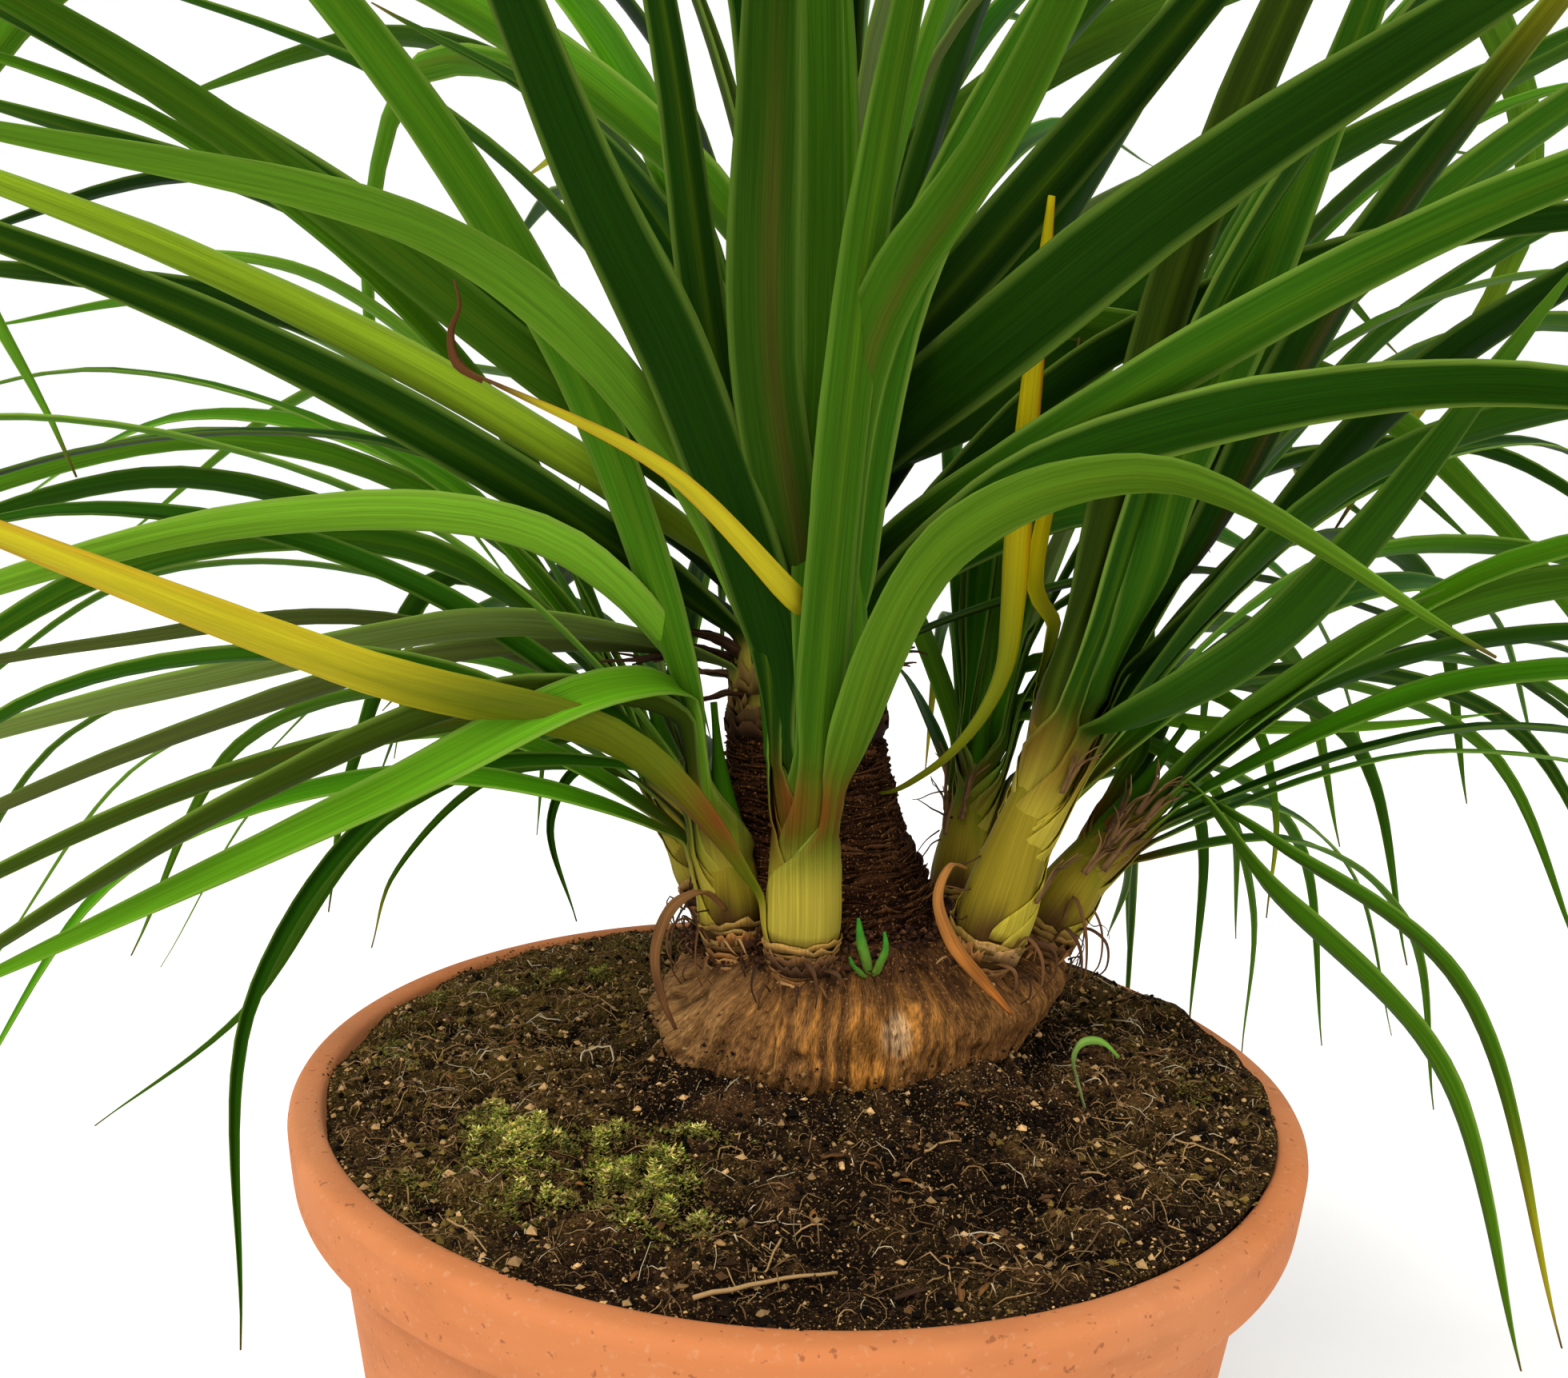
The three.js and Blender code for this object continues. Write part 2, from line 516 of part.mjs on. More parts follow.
function growLeaves(group, placed, keep) {
  const random = randomStream(group.seed);
  for (let i = 0; i < group.count; i++) {
    const t = i / (group.count - 1);
    const wander = [random(), random(), random(), random(), random()];
    let azimuth = mix(group.sector[0], group.sector[1], (i * GOLDEN_TURN + SPREAD.turn * wander[0]) % 1);
    const rise = mix(group.rise[0], group.rise[1], t) + SPREAD.rise * (wander[1] - 0.5);
    const turned = (azimuth + 360) % 360;
    if (turned > FRONT_SECTOR[0] && turned < FRONT_SECTOR[1] && rise < FRONT_RISE) {
      azimuth = -azimuth;
    }
    const leaf = {
      node: group.stem,
      stem: group.stem,
      height: mix(group.height[0], group.height[1], t),
      lift: mix(group.lift[0], group.lift[1], t),
      width: mix(group.width[0], group.width[1], t) * (0.8 + SPREAD.width * wander[2]),
      roll: SPREAD.roll * (wander[3] - 0.5),
    };
    const length = mix(group.length[0], group.length[1], t) * (0.8 + SPREAD.length * wander[4]);
    const droop = mix(group.droop[0], group.droop[1], t) * (0.75 + SPREAD.droop * wander[0]);
    const bend = SPREAD.bend * (wander[2] - 0.5);
    placeGrownLeaf(leaf, { azimuth, rise, length, droop, bend }, placed, keep);
  }
}

function placeGrownLeaf(leaf, habit, placed, keep) {
  const stem = STEMS[leaf.stem];
  const thirds = LEAF_THIRDS.map((share) => habit.length * share);
  for (const lean of RISE_TRIES) {
    for (const turn of AZIMUTH_TRIES) {
      const facing = habit.azimuth + turn;
      const rise = habit.rise + lean;
      const start = at(stemPoint(stem, leaf.height), direction(stem.azimuth, stem.rise), leaf.lift);
      leaf.first = at(start, direction(facing, rise), thirds[0]);
      leaf.second = at(leaf.first, direction(facing + habit.bend, rise - habit.droop * 0.45), thirds[1]);
      leaf.tip = at(leaf.second, direction(facing + habit.bend * 1.6, rise - habit.droop), thirds[2]);
      const frames = leafFrames(leaf, LEAF_SEGMENTS);
      const boxes = leafBoxes(frames);
      if (!hidesFront(frames) && isClear(leaf, frames, boxes, placed)) {
        keep({ ...leaf }, frames, boxes);
        return;
      }
    }
  }
}

// Closed meshes from rings of points, and solids from meshes.
// The quads between two rings are split along one diagonal, and on the crossed sides along the
// other, so that the two faces of a thin twisted blade bend alike and don't pass through each other.
function ringMesh(rings, crossed = []) {
  const sides = rings[0].length;
  const positions = rings.flat().flatMap((p) => [p.x, p.y, p.z]);
  const index = [];
  for (let i = 0; i < rings.length - 1; i++) {
    for (let j = 0; j < sides; j++) {
      const a = i * sides + j;
      const b = i * sides + ((j + 1) % sides);
      if (crossed.includes(j)) {
        index.push(a, b, a + sides, b, b + sides, a + sides);
      } else {
        index.push(a, b, b + sides, a, b + sides, a + sides);
      }
    }
  }
  const last = (rings.length - 1) * sides;
  for (let j = 1; j < sides - 1; j++) {
    index.push(0, j + 1, j);
    index.push(last, last + j, last + j + 1);
  }
  const geometry = new THREE.BufferGeometry();
  geometry.setAttribute("position", new THREE.Float32BufferAttribute(positions, 3));
  geometry.setIndex(signedVolume(positions, index) < 0 ? index.reverse() : index);
  return geometry;
}

function signedVolume(positions, index) {
  let sum = 0;
  const corner = (i) => new THREE.Vector3(positions[3 * i], positions[3 * i + 1], positions[3 * i + 2]);
  for (let i = 0; i < index.length; i += 3) {
    sum += corner(index[i]).dot(corner(index[i + 1]).cross(corner(index[i + 2])));
  }
  return sum;
}

function solid(geometry) {
  const bare = geometry.clone();
  bare.deleteAttribute("normal");
  bare.deleteAttribute("uv");
  const merged = mergeVertices(bare, 1e-4);
  const mesh = new wasm.Mesh({
    numProp: 3,
    vertProperties: new Float32Array(merged.attributes.position.array),
    triVerts: new Uint32Array(merged.index.array),
  });
  return new wasm.Manifold(mesh);
}

function geometryOf(body) {
  const mesh = body.getMesh();
  const geometry = new THREE.BufferGeometry();
  geometry.setAttribute("position", new THREE.BufferAttribute(new Float32Array(mesh.vertProperties), 3));
  geometry.setIndex(new THREE.BufferAttribute(new Uint32Array(mesh.triVerts), 1));
  return geometry;
}

// The largest body of a solid, without loose scraps or sealed hollows
function oneBody(body) {
  const largest = (parts) => parts.reduce((best, part) => (part.volume() > best.volume() ? part : best));
  const simple = largest(body.decompose()).asOriginal().simplify(SIMPLER);
  const whole = largest(solid(geometryOf(simple)).decompose());
  const splints = touchingEdges(geometryOf(whole)).map(([a, b]) => splint(a, b));
  return splints.length ? oneBody(joined([whole, ...splints])) : whole;
}

// Edges shared by more than two faces, where two blades touch without joining
function touchingEdges(geometry) {
  const positions = geometry.attributes.position.array;
  const index = geometry.index.array;
  const corner = (i) => new THREE.Vector3(positions[3 * i], positions[3 * i + 1], positions[3 * i + 2]);
  const key = (p) => p.toArray().map((v) => Math.round(v / MERGE_GRID)).join();
  const faces = new Map();
  for (let i = 0; i < index.length; i += 3) {
    for (let j = 0; j < 3; j++) {
      const ends = [corner(index[i + j]), corner(index[i + ((j + 1) % 3)])];
      const name = ends.map(key).sort().join(" ");
      const known = faces.get(name) || { ends, count: 0 };
      known.count += 1;
      faces.set(name, known);
    }
  }
  const shared = [...faces.values()].filter(({ ends, count }) => count > 2 && key(ends[0]) !== key(ends[1]));
  return shared.map(({ ends }) => ends);
}

// A thin splint along such an edge, which joins the two blades
function splint(a, b) {
  const along = b.clone().sub(a).normalize();
  const aside = new THREE.Vector3(0.3, 0.5, 0.8);
  const across = aside.addScaledVector(along, -aside.dot(along)).normalize();
  const third = along.clone().cross(across);
  const corners = (centre) => [0, 120, 240].map((turn) => {
    const out = at(at(centre, across, SPLINT_RADIUS * Math.cos(turn * toRadians)), third,
      SPLINT_RADIUS * Math.sin(turn * toRadians));
    return out;
  });
  return solid(ringMesh([corners(at(a, along, -SPLINT_RADIUS)), corners(at(b, along, SPLINT_RADIUS))]));
}

function joined(solids) {
  return solids.reduce((sum, next) => sum.add(next));
}

// Pot: one thrown clay wall with a rounded collar, and drain holes round the floor's middle
function potProfile() {
  const inner = RIM_INNER_RADIUS;
  const collarFoot = POT_HEIGHT - COLLAR_HEIGHT;
  return [
    [0, 0],
    [BASE_RADIUS - 3, 0],
    [BASE_RADIUS, 3],
    [mix(BASE_RADIUS, BODY_TOP_RADIUS, 0.5) + 1, collarFoot / 2],
    [BODY_TOP_RADIUS, collarFoot - 2],
    [RIM_RADIUS - 4, collarFoot],
    [RIM_RADIUS - 1, collarFoot + 4],
    [RIM_RADIUS, POT_HEIGHT - 8],
    [RIM_RADIUS - 1.5, POT_HEIGHT - 2.5],
    [RIM_RADIUS - 4.5, POT_HEIGHT],
    [inner + 1.5, POT_HEIGHT - 0.8],
    [inner, POT_HEIGHT - 3],
    [BODY_TOP_RADIUS - WALL, collarFoot - 12],
    [BASE_RADIUS - WALL + 2, FLOOR + 6],
    [BASE_RADIUS - WALL - 4, FLOOR],
    [0, FLOOR],
  ];
}

function makePot() {
  const profile = potProfile().map(([x, y]) => new THREE.Vector2(x, y));
  const wall = new THREE.LatheGeometry(profile, POT_SIDES).rotateX(Math.PI / 2);
  let pot = solid(wall);
  for (const azimuth of DRAIN_AZIMUTHS) {
    const hole = new THREE.CylinderGeometry(DRAIN_RADIUS, DRAIN_RADIUS, 4 * FLOOR, DRAIN_SIDES);
    const centre = direction(azimuth, 0).multiplyScalar(DRAIN_CIRCLE);
    hole.rotateX(Math.PI / 2).translate(centre.x, centre.y, 0);
    pot = pot.subtract(solid(hole));
  }
  return pot;
}

// Soil: fills the pot, heaped round the plant and towards the back right
function soilHeight(x, y) {
  const lean = 228.8 + 0.02 * x + 0.012 * y;
  const heap = 10 * Math.exp(-(((x - 13) ** 2 + (y - 8) ** 2) / 90 ** 2));
  const lumps = 0.9 * Math.sin(x * 0.11 + 0.4) * Math.cos(y * 0.13) + 0.6 * Math.sin(x * 0.05 - y * 0.09);
  return lean + heap + lumps;
}

function potInnerRadius(z) {
  const inside = potProfile().slice(-5, -1).reverse();
  return profileRadius(inside.map(([radius, height]) => [height, radius]), z);
}

function circle(radius, z, sides, centre = [0, 0]) {
  return Array.from({ length: sides }, (_, i) => {
    const angle = (2 * Math.PI * i) / sides;
    return new THREE.Vector3(centre[0] + radius * Math.cos(angle), centre[1] + radius * Math.sin(angle), z);
  });
}

function makeSoil() {
  const levels = [FLOOR + SOIL_MARGIN, FLOOR + 7, POT_HEIGHT - COLLAR_HEIGHT - 12];
  const rings = levels.map((z) => circle(potInnerRadius(z) - SOIL_MARGIN, z, SOIL_SIDES));
  for (let i = 0; i < SOIL_RINGS; i++) {
    const radius = (potInnerRadius(SOIL_EDGE_Z) - SOIL_MARGIN) * (1 - i / SOIL_RINGS);
    const ring = circle(radius, 0, SOIL_SIDES);
    ring.forEach((p) => {
      p.z = soilHeight(p.x, p.y);
    });
    rings.push(ring);
  }
  rings.push(circle(SOIL_HUB_RADIUS, soilHeight(0, 0), SOIL_SIDES));
  return solid(ringMesh(rings));
}

// Wood solids, with their own growth added all round where another piece is cut to fit them
function woodSolid(grow) {
  const heights = CAUDEX_PROFILE.map(([z]) => z);
  const rings = heights.map((z, i) => {
    const end = i === 0 ? -grow : i === heights.length - 1 ? grow : 0;
    return Array.from({ length: WOOD_SIDES }, (_, j) => {
      const azimuth = (360 * j) / WOOD_SIDES;
      const radius = caudexRadius(z, azimuth) + grow;
      const p = direction(azimuth, 0).multiplyScalar(radius);
      return new THREE.Vector3(p.x + CAUDEX_CENTRE[0], p.y + CAUDEX_CENTRE[1], z + end);
    });
  });
  const caudex = solid(ringMesh(rings));
  return caudex.add(trunkSolid(grow));
}

// The trunk's old leaf bases make it a stack of rough steps
function trunkSolid(grow) {
  const rings = [];
  for (let i = 0; i <= TRUNK_STEPS; i++) {
    const z = mix(TRUNK_SUNK_Z, TRUNK_TOP_Z, i / TRUNK_STEPS);
    const atTop = i === TRUNK_STEPS;
    const [x, y] = trunkCentre(z);
    const centre = new THREE.Vector3(x, y, z);
    const ring = circle(trunkRadius(z) + grow, z, TRUNK_SIDES, [x, y]).map((p, j) => {
      const outward = p.clone().sub(centre).normalize();
      return at(p, outward, atTop ? 0 : TRUNK_ROUGHNESS * Math.sin(j * 2.4 + i * 1.9));
    });
    const flare = atTop ? 0 : TRUNK_FLARE;
    const drop = new THREE.Vector3(0, 0, atTop ? -3 : -2.5);
    if (i > 0) {
      rings.push(ring.map((p) => p.clone().addScaledVector(p.clone().sub(centre), flare).add(drop)));
    }
    rings.push(ring);
  }
  return solid(ringMesh(rings));
}

// A stem's core: ringed tan foot, then the tight roll of leaf sheaths
function stemSolid(stem, grow) {
  const axis = direction(stem.azimuth, stem.rise);
  const across = new THREE.Vector3(0, 1, 0).addScaledVector(axis, -axis.y).normalize();
  const third = axis.clone().cross(across);
  const onTrunk = stem.plug === 0;
  const sides = onTrunk ? CORE_SIDES.crown : CORE_SIDES.side;
  const plugged = [[-stem.plug / stem.length, PLUG_SCALE], ...SIDE_STATIONS];
  const rings = (onTrunk ? CROWN_STATIONS : plugged).map(([height, scale]) => {
    const centre = stemPoint(stem, height);
    const radius = stemRadius(stem, height) * scale + grow;
    return Array.from({ length: sides }, (_, j) => {
      const angle = (2 * Math.PI * j) / sides;
      return at(at(centre, across, radius * Math.cos(angle)), third, radius * Math.sin(angle));
    });
  });
  if (onTrunk) {
    rings[0].forEach((p) => {
      p.z = TRUNK_TOP_Z + GAP;
    });
  }
  return solid(ringMesh(rings));
}

// A leaf: a strap with a keel under it, three-sided, tapering to its tip
function leafSolid(frames) {
  const rings = frames.map(({ point, across, normal, width }) => {
    const depth = Math.max(LEAF_MIN_DEPTH, LEAF_KEEL * width);
    return [at(point, across, -width / 2), at(point, across, width / 2), at(point, normal, -depth)];
  });
  return solid(ringMesh(rings, [1, 2]));
}

// The room that a leaf takes, with the gap all round it
function leafRoom(frames) {
  const rings = frames.map(({ point, tangent, across, normal, width }, i) => {
    const half = width / 2 + GAP;
    const depth = Math.max(LEAF_MIN_DEPTH, LEAF_KEEL * width) + GAP;
    const end = at(point, tangent, i === 0 ? -GAP : 0);
    const corner = (a, b) => at(at(end, across, a), normal, b);
    return [corner(-half, -GAP), corner(-half, GAP), corner(half, GAP), corner(half, -GAP), corner(0, -depth)];
  });
  return solid(ringMesh(rings, [3, 4]));
}

const COLOURS = {
  pot: 0xb5673f,
  soil: 0x3a2c22,
  caudex: 0x8d6b48,
  leafy: 0x4f7a2a,
  yellow: 0xc9a92c,
  dried: 0xa9713f,
  sprout: 0x5f8f3c,
};

const plant = new THREE.Group();
function addPiece(name, body, colour, roughness) {
  const material = new THREE.MeshStandardMaterial({ color: colour, roughness, metalness: 0 });
  const mesh = new THREE.Mesh(geometryOf(oneBody(body)), material);
  mesh.name = name;
  plant.add(mesh);
}

function stripFrames(strip) {
  const points = curveThrough(strip.path.map(vector), STRIP_SEGMENTS);
  return points.map((point, i) => {
    const after = points[Math.min(i + 1, STRIP_SEGMENTS)];
    const before = points[Math.max(i - 1, 0)];
    const tangent = after.clone().sub(before).normalize();
    const across = new THREE.Vector3(1, 0, 0).addScaledVector(tangent, -tangent.x).normalize();
    const t = (i / STRIP_SEGMENTS) * (strip.widths.length - 1);
    const j = Math.min(Math.floor(t), strip.widths.length - 2);
    const width = mix(strip.widths[j], strip.widths[j + 1], t - j);
    return { point, tangent, across, normal: tangent.clone().cross(across), width };
  });
}

function stripSolid(strip, grow) {
  const thick = strip.thickness / 2 + grow;
  const rings = stripFrames(strip).map(({ point, tangent, across, normal, width }, i) => {
    const half = width / 2 + grow;
    const end = at(point, tangent, i === 0 ? -grow : 0);
    const corner = (a, b) => at(at(end, across, half * a), normal, thick * b);
    return [corner(-1, -1), corner(1, -1), corner(1, 1), corner(-1, 1)];
  });
  return solid(ringMesh(rings, [2, 3]));
}

const leaves = arrangeLeaves();
const leavesOf = (node) => leaves.filter((leaf) => leaf.node === node);
const sideStems = Object.keys(STEMS).filter((name) => name !== "crown");
const allStems = Object.keys(STEMS);

// What the wood makes room for: the feet of the side stems and the low leaves against the trunk
const feet = sideStems.flatMap((name) => [
  stemSolid(STEMS[name], GAP),
  ...leavesOf(name).map((leaf) => leafRoom(leaf.frames.slice(0, LOW_FRAMES))),
]);
const carriedBy = (carrier) => STRIPS.filter((strip) => strip.carrier === carrier)
  .map((strip) => stripSolid(strip, GAP));
const wood = woodSolid(0).subtract(joined([...feet, ...carriedBy("wood")]));
const soil = makeSoil().subtract(woodSolid(GAP)).subtract(joined(carriedBy("soil")));

addPiece("pot", makePot(), COLOURS.pot, 0.9);
addPiece("soil", soil, COLOURS.soil, 1);
addPiece("caudex_and_trunk", wood, COLOURS.caudex, 0.95);
const looseLeaves = leaves.filter((leaf) => leaf.loose);
for (const name of allStems) {
  const blades = leavesOf(name).map((leaf) => leafSolid(leaf.frames));
  const sockets = looseLeaves.filter((leaf) => leaf.stem === name).map((leaf) => leafRoom(leaf.frames));
  const cuts = [...sockets, ...carriedBy(name)];
  const leafy = joined([stemSolid(STEMS[name], 0), ...blades]);
  addPiece(`${name}_leafy_stem`, cuts.length ? leafy.subtract(joined(cuts)) : leafy, COLOURS.leafy, 0.55);
}
for (const leaf of looseLeaves) {
  addPiece(leaf.node, leafSolid(leaf.frames), COLOURS.yellow, 0.6);
}
for (const strip of STRIPS) {
  addPiece(strip.name, stripSolid(strip, 0), COLOURS[strip.colour], 0.8);
}

export default plant;
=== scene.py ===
import math

import bmesh
import bpy
import numpy as np
from mathutils import Matrix, Vector


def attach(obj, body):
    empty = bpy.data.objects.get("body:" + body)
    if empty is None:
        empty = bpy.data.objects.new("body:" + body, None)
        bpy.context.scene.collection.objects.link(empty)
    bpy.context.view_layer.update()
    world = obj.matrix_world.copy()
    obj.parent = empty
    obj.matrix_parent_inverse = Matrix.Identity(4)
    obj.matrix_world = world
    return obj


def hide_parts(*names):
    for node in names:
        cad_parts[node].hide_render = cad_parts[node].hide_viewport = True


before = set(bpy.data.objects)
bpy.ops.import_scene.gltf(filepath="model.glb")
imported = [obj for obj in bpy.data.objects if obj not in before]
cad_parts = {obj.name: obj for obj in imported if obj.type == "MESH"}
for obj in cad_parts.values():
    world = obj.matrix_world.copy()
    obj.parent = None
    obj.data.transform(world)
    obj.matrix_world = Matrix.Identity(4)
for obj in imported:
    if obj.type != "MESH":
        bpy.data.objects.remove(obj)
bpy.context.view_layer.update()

MM = 0.001

# Pot, soil and wood, as the solids have them
POT_HEIGHT = 230
RIM_RADIUS = 150
BASE_RADIUS = 105
BODY_TOP_RADIUS = 138
RIM_INNER_RADIUS = 140.5
COLLAR_HEIGHT = 21
WALL = 9
FLOOR = 11
DRAIN_RADIUS = 7
DRAIN_CIRCLE = 52
CAUDEX_CENTRE = np.array([13.0, 8.0])
TRUNK_FOOT = np.array([5.0, 12.0])
TRUNK_TOP = np.array([-2.0, 12.0])
TRUNK_TOP_Z = 333
TRUNK_FOOT_Z = 268
TRUNK_LEAN_Z = 270
TRUNK_RADIUS = (36, 24.5)
DRAIN_COUNT = 4
# Height and radius up the pot's inner wall
INNER_WALL = [(FLOOR, BASE_RADIUS - WALL - 4), (FLOOR + 6, BASE_RADIUS - WALL + 2),
              (POT_HEIGHT - COLLAR_HEIGHT - 12, BODY_TOP_RADIUS - WALL)]
# Height and radius up the bulb
CAUDEX_PROFILE = [(178, 18), (184, 34), (198, 50), (216, 57), (236, 58), (250, 58.5), (258, 57),
                  (265, 51), (270, 43), (274, 38)]

# The leaf rule, as the solids have it
LEAF_SEGMENTS = 7
LEAF_TAPER = 0.55
LEAF_KEEL = 0.13
LEAF_MIN_WIDTH = 1.5
NECK_WIDTH = 0.45
NECK_RUN = 0.14
ROLL_RUN = 0.3
ROOT_DEPTH = 0.6
CURVE_STEPS = 80
CLEARANCE = 1.1
BUNDLE_RUN = 0.3
CORE_SHARE = 0.9
AZIMUTH_TRIES = [0, 5, -5, 10, -10, 16, -16, 23, -23, 31, -31]
RISE_TRIES = [0, 7, -7, 14]
DEPTH_TRIES = [0, 5, -5, 10, -10, 16, -16, 24, -24, 34, -34, 46, -46, 60, -60, 76, -76]
LEVEL_TRIES = [0, 8, -8, 16, -16, 26, -26]
TURN_TRIES = [0, 4, -4, 8, -8, 13, -13]
ROUTE_SHARES = [0.4, 1, 1.6]
GOLDEN_TURN = 0.618
FRONT_SECTOR = (205, 335)
FRONT_RISE = 74
SPREAD = {"turn": 0.08, "rise": 12, "width": 0.4, "roll": 100, "length": 0.35, "droop": 0.5, "bend": 30}
LEAF_THIRDS = (0.33, 0.33, 0.34)
POT_MARGIN = 8
POT_HEADROOM = 16
GROUND_MARGIN = 25
SHEATH_RUN = 0.13
# Grown leaves stay out of this space in front, from left to right and up to its top
OPEN_FRONT = (-75, 105)
OPEN_FRONT_TOP = 395
NEAR_LIMIT = -150
NEAR_LIMIT_TOP = 520

# Each leafy stem: foot, azimuth and rise of its axis, length, radii at foot and top, and its plug's depth
STEM_KEYS = ("foot", "azimuth", "rise", "length", "radius", "plug")
STEMS = {name: dict(zip(STEM_KEYS, row)) for name, *row in (
    ("crown", [-2, 12, 334], 170, 86, 68, [24, 13], 0),
    ("left", [-20, -14, 268], 180, 83, 58, [11, 8.5], 12),
    ("front", [0, -27, 268], 265, 84, 70, [12, 9], 14),
    ("right", [53, -13, 268], 350, 75, 85, [12, 10], 10),
    ("far_right", [72, 9, 266], 5, 58, 66, [11.5, 9], 10),
    ("back_right", [50, 36, 266], 60, 74, 66, [11, 8], 14),
    ("back_left", [-30, 34, 268], 150, 66, 70, [11, 8], 18),
)}
# The leaves that are nodes of their own, with their stems. Every other leaf is part of its stem's node.
OWN_LEAVES = {"yellow_front_leaf": "front", "yellow_right_leaf": "right", "yellow_short_leaf": "right",
              "yellow_crown_leaf": "crown"}
